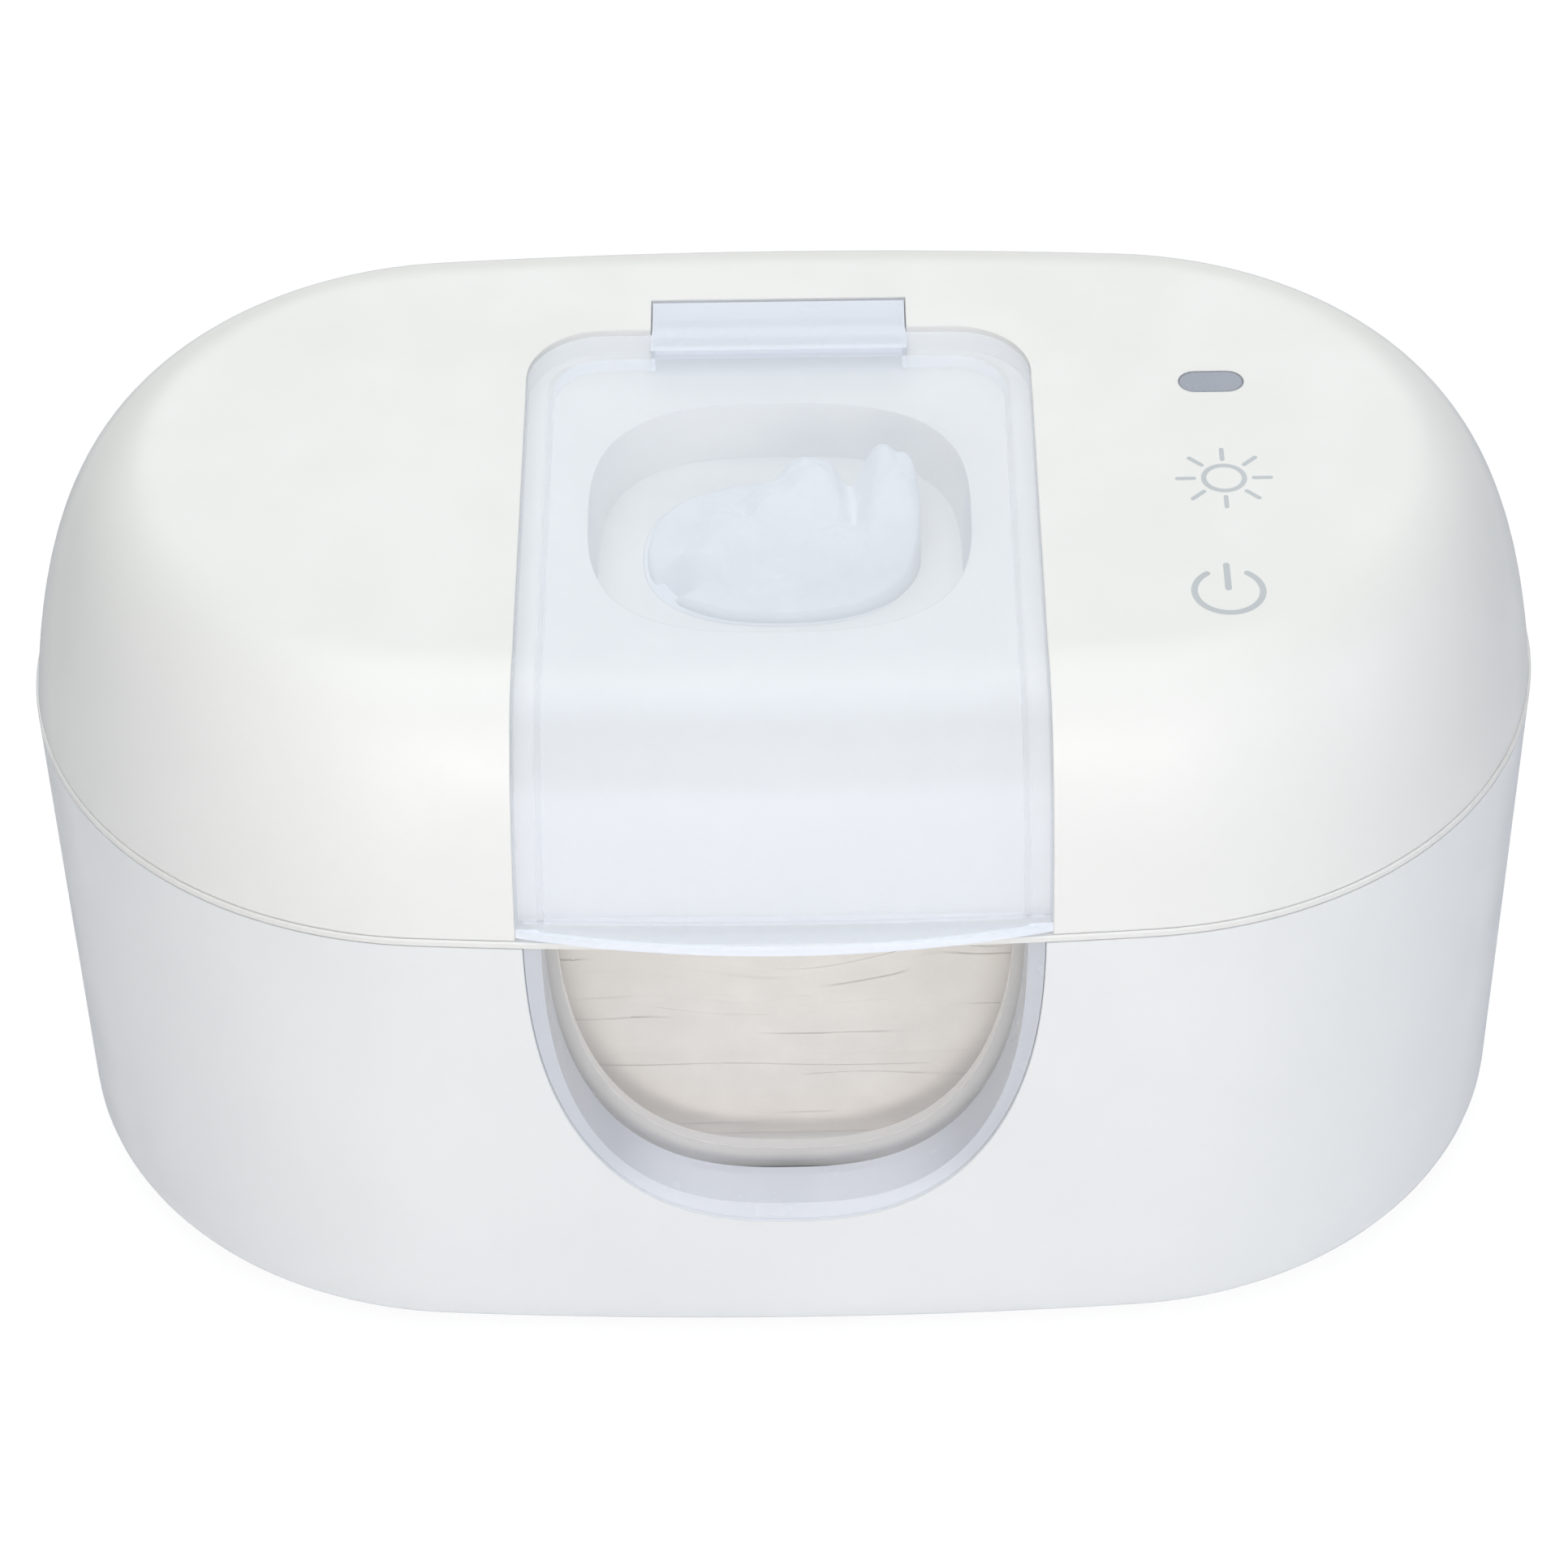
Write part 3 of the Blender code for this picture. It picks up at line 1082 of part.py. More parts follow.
def make_touch_board():
    front = POWER_KEY_Y - TOUCH_BOARD_MARGIN
    back = LENS_Y + TOUCH_BOARD_MARGIN
    outline = rounded_rectangle(TOUCH_BOARD_WIDTH, back - front, TOUCH_BOARD_MARGIN, (TOUCH_X, (front + back) / 2))
    board = add_prism("touch_board", outline, "Z", TOUCH_BOARD_TOP - TOUCH_BOARD_THICK, TOUCH_BOARD_TOP)
    for i, y in enumerate(touch_boss_places()):
        hole = add_hole(f"touch_hole_{i}", SCREW_RADIUS + FIT, (TOUCH_X, y), RIM_HEIGHT, TOP_HEIGHT)
        cut(board, hole)
    lamp_half = LENS_WIDTH / 4
    join(
        board,
        add_box(
            "touch_led",
            (TOUCH_X - lamp_half, LENS_Y - lamp_half, TOUCH_BOARD_TOP - FIT),
            (TOUCH_X + lamp_half, LENS_Y + lamp_half, TOUCH_BOARD_TOP + lamp_half),
        ),
    )
    return finish_node(board, "circuit_board", COVER_AXIS)


def make_touch_springs():
    """Coil springs that carry each touch key from the board up to the cover's skin."""
    low = TOUCH_BOARD_TOP + FIT + SPRING_WIRE
    high = TOP_UNDERSIDE - FIT - SPRING_WIRE
    count = SPRING_TURNS * SPRING_STEPS
    for name, y in (("touch_spring_power", POWER_KEY_Y), ("touch_spring_light", LIGHT_KEY_Y)):
        curve = bpy.data.curves.new(name, "CURVE")
        curve.dimensions = "3D"
        curve.bevel_depth = SPRING_WIRE
        curve.bevel_resolution = 0
        curve.use_fill_caps = True
        spline = curve.splines.new("POLY")
        spline.points.add(count)
        for i, slot in enumerate(spline.points):
            angle = 2 * math.pi * i / SPRING_STEPS
            x = TOUCH_X + SPRING_RADIUS * math.cos(angle)
            slot.co = (x, y + SPRING_RADIUS * math.sin(angle), low + (high - low) * i / count, 1)
        spring = bpy.data.objects.new(name, curve)
        spring.parent = BODY
        bpy.context.scene.collection.objects.link(spring)
        finish_node(spring, "steel", COVER_AXIS)


def make_status_lens():
    outline = rounded_rectangle(LENS_LENGTH, LENS_WIDTH, LENS_WIDTH / 2 - FIT / 10, (TOUCH_X, LENS_Y))
    low = TOP_UNDERSIDE - FIT - LENS_FLANGE
    lens = add_prism("status_lens", outline, "Z", low, TOP_HEIGHT - FIT / 3)
    width = LENS_LENGTH + 2 * LENS_FLANGE
    radius = LENS_WIDTH / 2 + LENS_FLANGE / 2
    rim = rounded_rectangle(width, LENS_WIDTH + 2 * LENS_FLANGE, radius, (TOUCH_X, LENS_Y))
    join(lens, add_prism("lens_flange", rim, "Z", low, TOP_UNDERSIDE - FIT))
    return finish_node(lens, "lens_plastic", COVER_AXIS)


def make_cover_contacts():
    half = CONTACT_LENGTH / 2
    back = DEPTH / 2 - CONTACT_INSET - FIT
    front = back - CONTACT_DEPTH + FIT
    low = COVER_BOTTOM + FIT
    block = add_box("cover_contact_block", (-half, front, low), (half, back, low + CONTACT_HEIGHT / 2))
    ear = WALL
    ears = add_box(
        "contact_ears",
        (-half - ear, front, LINER_TOP + FIT),
        (half + ear, back, low + CONTACT_HEIGHT / 2),
    )
    join(block, ears)
    for i in (-1, 0, 1):
        middle = (i * CONTACT_PITCH, (front + back) / 2)
        pin_low = RIM_HEIGHT + FIT / 2
        join(block, add_cylinder(f"contact_pin_{i + 1}", CONTACT_PIN, "Z", middle, pin_low, low + WALL, HOLE_STEPS))
    return finish_node(block, "black_plastic", COVER_AXIS)


def make_lamp():
    """The night light: a narrow board over a diffuser that shines down behind the window."""
    length = LAMP_LENGTH + 2 * DIFFUSER_MARGIN
    depth = LAMP_DEPTH + 2 * DIFFUSER_MARGIN
    flange_low = LINER_TOP + FIT
    flange_top = flange_low + LAMP_THICK
    flange = rounded_rectangle(length, depth, LAMP_DEPTH / 3, (0, LAMP_Y))
    diffuser = add_prism("lamp_diffuser", flange, "Z", flange_low, flange_top)
    window = rounded_rectangle(LAMP_LENGTH - 2 * FIT, LAMP_DEPTH - 2 * FIT, LAMP_DEPTH / 3 - FIT, (0, LAMP_Y))
    join(diffuser, add_prism("diffuser_window", window, "Z", LINER_UNDERSIDE, flange_top - FIT))
    finish_node(diffuser, "clear_plastic", COVER_AXIS)
    low = flange_top + FIT
    board = add_prism("lamp_board", flange, "Z", low, low + LAMP_THICK)
    reach = (LAMP_CHIP_LENGTH / 2, LAMP_CHIP_DEPTH / 2)
    for i in (-1, 0, 1):
        x = i * LAMP_LENGTH / 3
        join(
            board,
            add_box(
                f"lamp_chip_{i + 1}",
                (x - reach[0], LAMP_Y - reach[1], low + LAMP_THICK / 2),
                (x + reach[0], LAMP_Y + reach[1], low + LAMP_THICK + LAMP_CHIP_HEIGHT),
            ),
        )
    return finish_node(board, "circuit_board", COVER_AXIS)


def make_cover_screws():
    for i, (x, y) in enumerate(mirrored_pairs(LINER_BOSS_X, LINER_BOSS_Y)):
        head = LINER_UNDERSIDE - FIT - SCREW_HEAD
        add_screw(f"liner_screw_{i + 1}", x, y, head, SCREW_LENGTH - WALL, axis=COVER_AXIS)
    for i, y in enumerate(touch_boss_places()):
        head = TOUCH_BOARD_TOP - TOUCH_BOARD_THICK - FIT - SCREW_HEAD
        add_screw(f"touch_screw_{i + 1}", TOUCH_X, y, head, SMALL_SCREW_LENGTH, axis=COVER_AXIS)


def make_cover_lead():
    """The lead from the cover's contacts round behind the mouth to the touch board."""
    low = LINER_TOP + CABLE_RADIUS + FIT
    start_x = CONTACT_LENGTH / 2 + WALL + CABLE_RADIUS + FIT
    back = DEPTH / 2 - CONTACT_INSET - CONTACT_DEPTH / 2
    board_z = TOUCH_BOARD_TOP - TOUCH_BOARD_THICK - CABLE_RADIUS - FIT
    route = (
        (start_x, back, low),
        (start_x + 6 * LEAD_STEP, back - LEAD_STEP, low),
        (TOUCH_X - 10 * LEAD_STEP, back - 8 * LEAD_STEP, low + LEAD_STEP / 2),
        (TOUCH_X - 3 * LEAD_STEP, back - 15 * LEAD_STEP, low + 4 * LEAD_STEP),
        (TOUCH_X - LEAD_STEP, LENS_Y + 3 * LEAD_STEP, board_z - LEAD_STEP),
        (TOUCH_X, LENS_Y, board_z),
    )
    add_wire("cover_lead", route, CABLE_RADIUS, "wire", COVER_AXIS)


# Flip lid


def make_flip_lid():
    """A tray of clear plastic that follows the dome: skin, skirts, front lip and hinge barrel."""
    bottom = COVER_BOTTOM + FIT
    lid = add_prism("flip_lid", lid_outline(0, 0), "Z", bottom, TOP_HEIGHT + WALL)
    keep(lid, add_oval("lid_skin", cover_profile(0, COVER_BOTTOM)))
    cut(lid, add_hidden_oval("lid_under_skin", cover_profile(LID_SKIN, RIM_HEIGHT - WALL)))
    inset = LID_SKIRT_INSET
    skirt = add_prism("lid_skirt", lid_outline(-inset, -inset), "Z", bottom, TOP_HEIGHT + WALL)
    inset += LID_SKIRT_WALL
    cut(skirt, add_prism("lid_skirt_inside", lid_outline(-inset, -inset), "Z", RIM_HEIGHT, TOP_HEIGHT + 2 * WALL))
    keep(skirt, add_hidden_oval("lid_skirt_top", cover_profile(LID_SKIN / 2, RIM_HEIGHT - WALL)))
    join(lid, cut(skirt, add_hidden_oval("lid_skirt_limit", cover_profile(LID_SKIRT, RIM_HEIGHT - WALL))))
    half = LID_WIDTH / 2 + LID_FLARE
    span = half * LID_LIP_SPAN
    lip = []
    steps = 20
    for i in range(steps + 1):
        x = half * (2 * i / steps - 1)
        lip.append((x, COVER_STEP - side_reach(x) - LID_LIP_REACH * (1 - (x / span) ** 2)))
    inside = COVER_STEP - DEPTH / 2 + LID_SKIRT
    lip += [(half - LID_SKIN / 2, inside), (LID_SKIN / 2 - half, inside)]
    join(lid, add_prism("lid_lip", lip, "Z", bottom, bottom + LID_LIP_THICK))
    half = TAB_WIDTH / 2
    axis = (LID_AXIS_Y, LID_AXIS_Z)
    barrel = add_cylinder("lid_barrel", LID_BARREL, "X", axis, -half, half, BARREL_STEPS)
    arm = add_box(
        "lid_arm",
        (-half, LID_BACK - 2 * LID_SKIN, TOP_HEIGHT - LID_SKIN),
        (half, LID_AXIS_Y, TOP_HEIGHT - FIT / 10),
    )
    join(lid, barrel, arm)
    cut(lid, add_cylinder("lid_bore", LID_PIN_RADIUS + FIT, "X", axis, -LENGTH / 4, LENGTH / 4))
    return finish_node(lid, "clear_plastic", LID_AXIS)


def make_lid_pin():
    reach = TAB_WIDTH / 2 + TAB_GAP + WALL - FIT
    pin = add_cylinder("lid_hinge_pin", LID_PIN_RADIUS, "X", (LID_AXIS_Y, LID_AXIS_Z), -reach, reach)
    return finish_node(pin, "steel", COVER_AXIS)


# Wipes


def make_wipe_stack():
    """The folded wipes: a soft block whose top sags where the middle wipe has been drawn up."""
    low = TANK_FLOOR + FIT
    soft = STACK_CORNER / 4
    rings = []
    for inset, z in (
        (soft, low),
        (0, low + soft),
        (0, low + STACK_HEIGHT - soft),
        (soft / 2, low + STACK_HEIGHT - soft / 3),
        (2 * soft, low + STACK_HEIGHT),
    ):
        outline = rounded_rectangle(STACK_LENGTH - 2 * inset, STACK_DEPTH - 2 * inset, STACK_CORNER - inset)
        rings.append([(x, y, z) for x, y in outline])
    return finish_node(add_solid("wipe_stack", rings), "wipe_cloth")


def tuft_height(x, y):
    """Folds of the wipe that stands out of the mouth, for x and y from -1 to 1 across it."""
    ridge = math.exp(-(((x - 0.62) / 0.34) ** 2) - ((y - 0.30) / 0.50) ** 2)
    middle = 0.60 * math.exp(-(((x - 0.02) / 0.48) ** 2) - ((y - 0.20) / 0.62) ** 2)
    left = 0.34 * math.exp(-(((x + 0.60) / 0.42) ** 2) - ((y + 0.30) / 0.50) ** 2)
    pleat = 0.07 * math.sin(9 * x - 4 * y) * math.cos(5 * y + 2 * x)
    return min(1.0, 0.12 + max(ridge, middle, left) + pleat * (1 - 0.5 * ridge))


def make_wipe_tuft():
    """The crumpled top of a wipe: a neck through the slot that opens into folds over the mouth."""
    neck_low = MOUTH_TOP - MOUTH_RUBBER - TUFT_NECK_LENGTH
    spread_low = FUNNEL_FLOOR + FIT
    sectors = 36
    rings = []
    steps = 9
    centre = (0, MOUTH_Y)
    for z, grow in ((neck_low, 0.8), (MOUTH_TOP - MOUTH_RUBBER, 1.0), (spread_low, 1.0)):
        width, depth = TUFT_NECK_WIDTH * grow, TUFT_NECK_DEPTH_Y * grow
        rings.append([(x, y, z) for x, y in superellipse(width, depth, 2, centre, sectors)])
    for share, lift in ((1.0, 0.0), (1.0, 0.06)):
        outline = superellipse(TUFT_WIDTH * share, TUFT_DEPTH_Y * share, 2.2, centre, sectors)
        rings.append([(x, y, spread_low + TUFT_PEAK * lift) for x, y in outline])
    for i in range(1, steps):
        share = 1 - i / steps
        ring = []
        for x, y in superellipse(TUFT_WIDTH * share, TUFT_DEPTH_Y * share, 2.2, centre, sectors):
            across = 2 * (x - centre[0]) / TUFT_WIDTH
            along = 2 * (y - centre[1]) / TUFT_DEPTH_Y
            ring.append((x, y, spread_low + TUFT_PEAK * (0.06 + 0.94 * tuft_height(across, along))))
        rings.append(ring)
    return finish_node(add_solid("wipe_tuft", rings), "wipe_cloth", COVER_AXIS)


def main():
    make_base_casing()
    make_bottom_plate()
    make_feet()
    make_base_screws()
    make_viewing_window()
    make_window_gasket()
    make_wipe_tank()
    make_heater()
    make_thermal_fuse()
    make_temperature_sensor()
    make_main_board()
    make_power_jack()
    make_base_contacts()
    make_base_leads()
    make_top_cover()
    make_hinge_pins()
    make_cover_liner()
    make_cover_seal()
    make_dispensing_mouth()
    make_touch_board()
    make_touch_springs()
    make_status_lens()
    make_cover_contacts()
    make_lamp()
    make_cover_screws()
    make_cover_lead()
    make_flip_lid()
    make_lid_pin()
    make_wipe_stack()
    make_wipe_tuft()


main()
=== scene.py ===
"""A wipe warmer with a see-through flip lid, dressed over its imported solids."""

import math

import bmesh
import bpy
from mathutils import Matrix, Vector, noise


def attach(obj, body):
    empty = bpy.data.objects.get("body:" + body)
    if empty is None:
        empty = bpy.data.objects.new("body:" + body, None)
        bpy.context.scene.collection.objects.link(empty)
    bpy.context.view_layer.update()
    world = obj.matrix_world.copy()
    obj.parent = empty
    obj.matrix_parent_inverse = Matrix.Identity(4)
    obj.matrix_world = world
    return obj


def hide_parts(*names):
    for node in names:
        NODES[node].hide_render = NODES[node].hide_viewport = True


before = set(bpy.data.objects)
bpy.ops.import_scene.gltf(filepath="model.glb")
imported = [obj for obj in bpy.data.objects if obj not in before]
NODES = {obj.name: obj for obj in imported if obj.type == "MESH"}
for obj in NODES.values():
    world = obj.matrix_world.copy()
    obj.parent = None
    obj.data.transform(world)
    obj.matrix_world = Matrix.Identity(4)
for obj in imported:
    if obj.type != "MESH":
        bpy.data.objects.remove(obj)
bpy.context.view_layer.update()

# Sizes shared with the solids, in metres, drawn about the middle of the body.
# HINGE and LID_AXIS are places as (y, z); LENS, SUN_MARK and POWER_MARK are places as (x, y).
MIDDLE_Y = -0.0034
LENGTH, DEPTH, SIDE_BOW = 0.236, 0.138, 0.0018
RIM, TOP = 0.089, 0.1295
FOOT, FIT, WALL = 0.0015, 0.0003, 0.0022
DRAFT, FILLET = math.radians(1.44), 0.0087
COVER_STEP, COVER_DRAFT = 0.0004, math.radians(6.57)
SIDE_PULL, SHOULDER_PULL, TOP_INSET = 0.032, 0.009, 0.022
CASING_TOP = RIM - 0.0012 - FIT
SEAM = 0.00022  # how far base and cover each reach into the seam between them

NOTCH_HALF, NOTCH_BOTTOM, NOTCH_POWER = 0.0391, 0.0288, 2.5
PANE_SIDE, PANE_LOW, PANE_POWER = 0.0027, 0.0036, 2.7
PANE_SETBACK, WINDOW_WALL = 0.0087, 0.0016
PEG_X, PEG_RADIUS = 0.0162, 0.0019

TANK_INSET, TANK_WALL, TANK_FILLET = 0.0116, 0.0018, 0.004
TANK_BOTTOM, TANK_FLOOR = 0.0272, 0.029
BOSS_X, BOSS_Y, BOSS_RADIUS, PILOT_RADIUS = 0.072, 0.024, 0.0045, 0.00175

CHANNEL_DEPTH, CHANNEL_BEND_Y = 0.0045, -0.048
CHANNEL_FLOOR = TOP - CHANNEL_DEPTH
FUNNEL_DEPTH = 0.0095
FUNNEL_FLOOR = CHANNEL_FLOOR - FUNNEL_DEPTH
MOUTH_TOP = FUNNEL_FLOOR - WALL - FIT
MOUTH_Y, MOUTH_POWER = -0.0095, 2.4

LID_HALF, LID_BACK, LID_CORNER = 0.0387, 0.0284, 0.0115
LID_SKIN, LID_RIB = 0.0016, 0.0039
LIP_HALF, LIP_BOW, LIP_HEIGHT = LID_HALF + 0.0009, 0.0036, 0.0013
LEAF_HALF, POCKET_HALF = 0.0199, 0.0201
LID_AXIS, LID_BARREL, LID_BORE = (0.0336, TOP - 0.0036), 0.0036, 0.0013

HINGE, HINGE_BORE, KNUCKLE_RADIUS = (0.0735, RIM + FIT / 2), 0.0018, 0.0041
HINGE_X, HINGE_ARM = 0.036, 0.007
JACK_Z, JACK_RADIUS = 0.01571, 0.0048

LENS = (0.0672, 0.0150)
SUN_MARK, POWER_MARK = (0.0677, -0.0095), (0.0667, -0.0367)

END_RADIUS = DEPTH / 2 - SIDE_BOW
END_X = LENGTH / 2 - END_RADIUS
SIDE_RADIUS = (END_X**2 + (DEPTH / 2) ** 2 - END_RADIUS**2) / (2 * SIDE_BOW)


# Camera, light, floor


LAMP_AIM = (0, 0, 0.06)
LAMPS = {  # place, size, power in watts, colour
    "key": ((-0.15, -0.55, 1.25), (1.1, 0.9), 5.8, (0.90, 1.0, 1.22)),
    "front": ((0.0, -1.3, 0.35), (0.9, 0.5), 7.9, (1.03, 0.98, 0.91)),
    "top": ((0, 0.1, 1.4), (1.3, 1.0), 7.2, (1.02, 1.0, 0.80)),
    "back": ((0, 1.1, 0.9), (1.2, 0.6), 5.2, (1.0, 1.0, 1.08)),
    "right": ((1.3, -0.5, 0.5), (0.6, 0.6), 1.9, (0.85, 1.0, 1.3)),
}


def make_camera():
    """The camera that was fitted to the photo's outline, standing off the middle of the body."""
    pitch, yaw, roll = math.radians(41.013), math.radians(0.5008), math.radians(-1.0743)
    back = Vector((math.sin(yaw) * math.cos(pitch), -math.cos(yaw) * math.cos(pitch), math.sin(pitch)))
    right = (-back).cross(Vector((0, 0, 1))).normalized()
    up = right.cross(-back)
    across = math.cos(roll) * right + math.sin(roll) * up
    above = -math.sin(roll) * right + math.cos(roll) * up
    camera = bpy.data.cameras.new("camera")
    camera.sensor_width = 36
    camera.lens = 127.846
    obj = bpy.data.objects.new("camera", camera)
    place = Vector((-0.0002, MIDDLE_Y, 0.0607)) + 0.9 * back
    obj.matrix_world = Matrix(
        (
            (across.x, above.x, back.x, place.x),
            (across.y, above.y, back.y, place.y),
            (across.z, above.z, back.z, place.z),
            (0, 0, 0, 1),
        )
    )
    bpy.context.scene.collection.objects.link(obj)
    bpy.context.scene.camera = obj


def add_lamp(name, place, size, power, colour):
    lamp = bpy.data.lights.new(name, "AREA")
    lamp.shape = "RECTANGLE"
    lamp.size, lamp.size_y = size
    lamp.energy = power
    lamp.color = colour
    obj = bpy.data.objects.new(name, lamp)
    obj.location = place
    obj.rotation_euler = (Vector(LAMP_AIM) - Vector(place)).to_track_quat("-Z", "Y").to_euler()
    bpy.context.scene.collection.objects.link(obj)


def seen_directly(tree):
    """1 where a ray reaches the shader from the camera, a mirror or a clear piece."""
    path = tree.nodes.new("ShaderNodeLightPath")
    total = None
    for socket in ("Is Camera Ray", "Is Glossy Ray", "Is Transmission Ray"):
        if total is None:
            total = path.outputs[socket]
            continue
        both = tree.nodes.new("ShaderNodeMath")
        both.operation = "MAXIMUM"
        tree.links.new(total, both.inputs[0])
        tree.links.new(path.outputs[socket], both.inputs[1])
        total = both.outputs[0]
    return total


def make_world():
    world = bpy.data.worlds.new("studio")
    world.use_nodes = True
    bpy.context.scene.world = world
    tree = world.node_tree
    tree.nodes.clear()
    out = tree.nodes.new("ShaderNodeOutputWorld")
    white = tree.nodes.new("ShaderNodeBackground")
    white.inputs[0].default_value = (1, 1, 1, 1)
    soft = tree.nodes.new("ShaderNodeBackground")
    soft.inputs[0].default_value = (0.86, 0.92, 1.0, 1)
    soft.inputs[1].default_value = 0.03
    mix = tree.nodes.new("ShaderNodeMixShader")
    tree.links.new(seen_directly(tree), mix.inputs[0])
    tree.links.new(soft.outputs[0], mix.inputs[1])
    tree.links.new(white.outputs[0], mix.inputs[2])
    tree.links.new(mix.outputs[0], out.inputs[0])


def make_floor():
    mesh = bpy.data.meshes.new("floor")
    edge = 6.0
    mesh.from_pydata([(-edge, -edge, 0), (edge, -edge, 0), (edge, edge, 0), (-edge, edge, 0)], [], [(0, 1, 2, 3)])
    floor = bpy.data.objects.new("floor", mesh)
    bpy.context.scene.collection.objects.link(floor)
    material = bpy.data.materials.new("floor")
    material.use_nodes = True
    tree = material.node_tree
    tree.nodes.clear()
    out = tree.nodes.new("ShaderNodeOutputMaterial")
    plain = tree.nodes.new("ShaderNodeBsdfDiffuse")
    plain.inputs[0].default_value = (0.80, 0.82, 0.85, 1)
    faint = tree.nodes.new("ShaderNodeBsdfDiffuse")
    faint.inputs[0].default_value = (0.16, 0.16, 0.16, 1)
    glow = tree.nodes.new("ShaderNodeEmission")
    glow.inputs[0].default_value = (1, 1, 1, 1)
    glow.inputs[1].default_value = 0.90
    add = tree.nodes.new("ShaderNodeAddShader")
    mix = tree.nodes.new("ShaderNodeMixShader")
    tree.links.new(faint.outputs[0], add.inputs[0])
    tree.links.new(glow.outputs[0], add.inputs[1])
    tree.links.new(seen_directly(tree), mix.inputs[0])
    tree.links.new(plain.outputs[0], mix.inputs[1])
    tree.links.new(add.outputs[0], mix.inputs[2])
    tree.links.new(mix.outputs[0], out.inputs[0])
    mesh.materials.append(material)


# Materials


class Shader:
    """A Principled material whose colour, roughness and bump come from noise in object space.

    Where a plastic or cloth is thin and milky, a faint emission stands in for the light scattered inside it.
    """

    def __init__(self, name, colour, roughness, **sockets):
        self.material = bpy.data.materials.new(name)
        self.material.use_nodes = True
        self.tree = self.material.node_tree
        self.main = self.tree.nodes["Principled BSDF"]
        self.main.inputs["Base Color"].default_value = (*colour, 1)
        self.main.inputs["Roughness"].default_value = roughness
        for key, value in sockets.items():
            self.main.inputs[key.replace("_", " ")].default_value = value
        self.place = self.tree.nodes.new("ShaderNodeTexCoord").outputs["Object"]

    def node(self, kind, **values):
        made = self.tree.nodes.new("ShaderNode" + kind)
        for key, value in values.items():
            if key in made.inputs.keys():
                made.inputs[key].default_value = value
            elif key.replace("_", " ") in made.inputs.keys():
                made.inputs[key.replace("_", " ")].default_value = value
            else:
                setattr(made, key, value)
        return made

    def link(self, source, target):
        self.tree.links.new(source, target)
        return self

    def noise(self, scale, detail=3.0, stretch=(1, 1, 1)):
        where = self.place
        if stretch != (1, 1, 1):
            mapping = self.node("Mapping")
            mapping.inputs["Scale"].default_value = stretch
            self.link(where, mapping.inputs["Vector"])
            where = mapping.outputs[0]
        made = self.node("TexNoise", Scale=scale, Detail=detail)
        self.link(where, made.inputs["Vector"])
        return made.outputs["Fac"]

    def ranged(self, fac, low, high):
        made = self.node("MapRange")
        made.inputs["From Min"].default_value = 0.3
        made.inputs["From Max"].default_value = 0.7
        made.inputs["To Min"].default_value = low
        made.inputs["To Max"].default_value = high
        self.link(fac, made.inputs["Value"])
        return made.outputs[0]

    def tint(self, scale, low, high):
        """Lets the colour wander between low and high."""
        made = self.node("Mix", data_type="RGBA")
        made.inputs[6].default_value = (*low, 1)
        made.inputs[7].default_value = (*high, 1)
        self.link(self.ranged(self.noise(scale, 4), 0, 1), made.inputs[0])
        self.link(made.outputs[2], self.main.inputs["Base Color"])
        return self

    def recolour(self, fac, colour, how="MIX"):
        """Turns the colour so far into another one where fac is 1."""
        made = self.node("Mix", data_type="RGBA", blend_type=how)
        made.inputs[7].default_value = (*colour, 1)
        self.link(fac, made.inputs[0])
        self.link(self.main.inputs["Base Color"].links[0].from_socket, made.inputs[6])
        self.link(made.outputs[2], self.main.inputs["Base Color"])
        return self

    def gloss(self, scale, low, high):
        self.link(self.ranged(self.noise(scale, 5), low, high), self.main.inputs["Roughness"])
        return self

    def bump(self, height, depth, base=None):
        made = self.node("Bump", Distance=depth, Strength=1.0)
        self.link(height, made.inputs["Height"])
        if base is not None:
            self.link(base, made.inputs["Normal"])
        self.link(made.outputs[0], self.main.inputs["Normal"])
        return self

    def calc(self, operation, first, second):
        """One arithmetic step on two sockets or numbers."""
        made = self.node("Math", operation=operation)
        for slot, value in enumerate((first, second)):
            if isinstance(value, (int, float)):
                made.inputs[slot].default_value = value
            else:
                self.link(value, made.inputs[slot])
        return made.outputs[0]

    def step(self, value, start, end, low, high):
        """Goes smoothly from low to high while value goes from start to end."""
        made = self.node("MapRange", interpolation_type="SMOOTHSTEP")
        for key, number in (("From Min", start), ("From Max", end), ("To Min", low), ("To Max", high)):
            made.inputs[key].default_value = number
        self.link(value, made.inputs["Value"])
        return made.outputs[0]

    def axes(self):
        made = self.node("SeparateXYZ")
        self.link(self.place, made.inputs[0])
        return made.outputs

    def soft_edges(self, radius):
        return self.node("Bevel", Radius=radius, samples=6).outputs[0]


def moulded(name, low, high, rough, grain=0.000012, edge=0.0004, rim=False, **sockets):
    """Satin moulded plastic: a fine spark-eroded grain, faint flow marks and softened edges.

    With rim set, a painted shade darkens the colour a little where the wall turns away from view.
    """
    made = Shader(name, low, rough[0], **sockets)
    made.tint(28, low, high).gloss(90, *rough)
    if rim:
        # Painted shade: the colour is multiplied darker as the surface turns edge-on to the view.
        facing = made.node("LayerWeight", Blend=0.5).outputs["Facing"]
        made.recolour(made.step(facing, 0.76, 1.0, 0, 1), (0.70, 0.72, 0.77), "MULTIPLY")
    return made.bump(made.noise(2600, 2), grain, made.soft_edges(edge) if edge else None).material


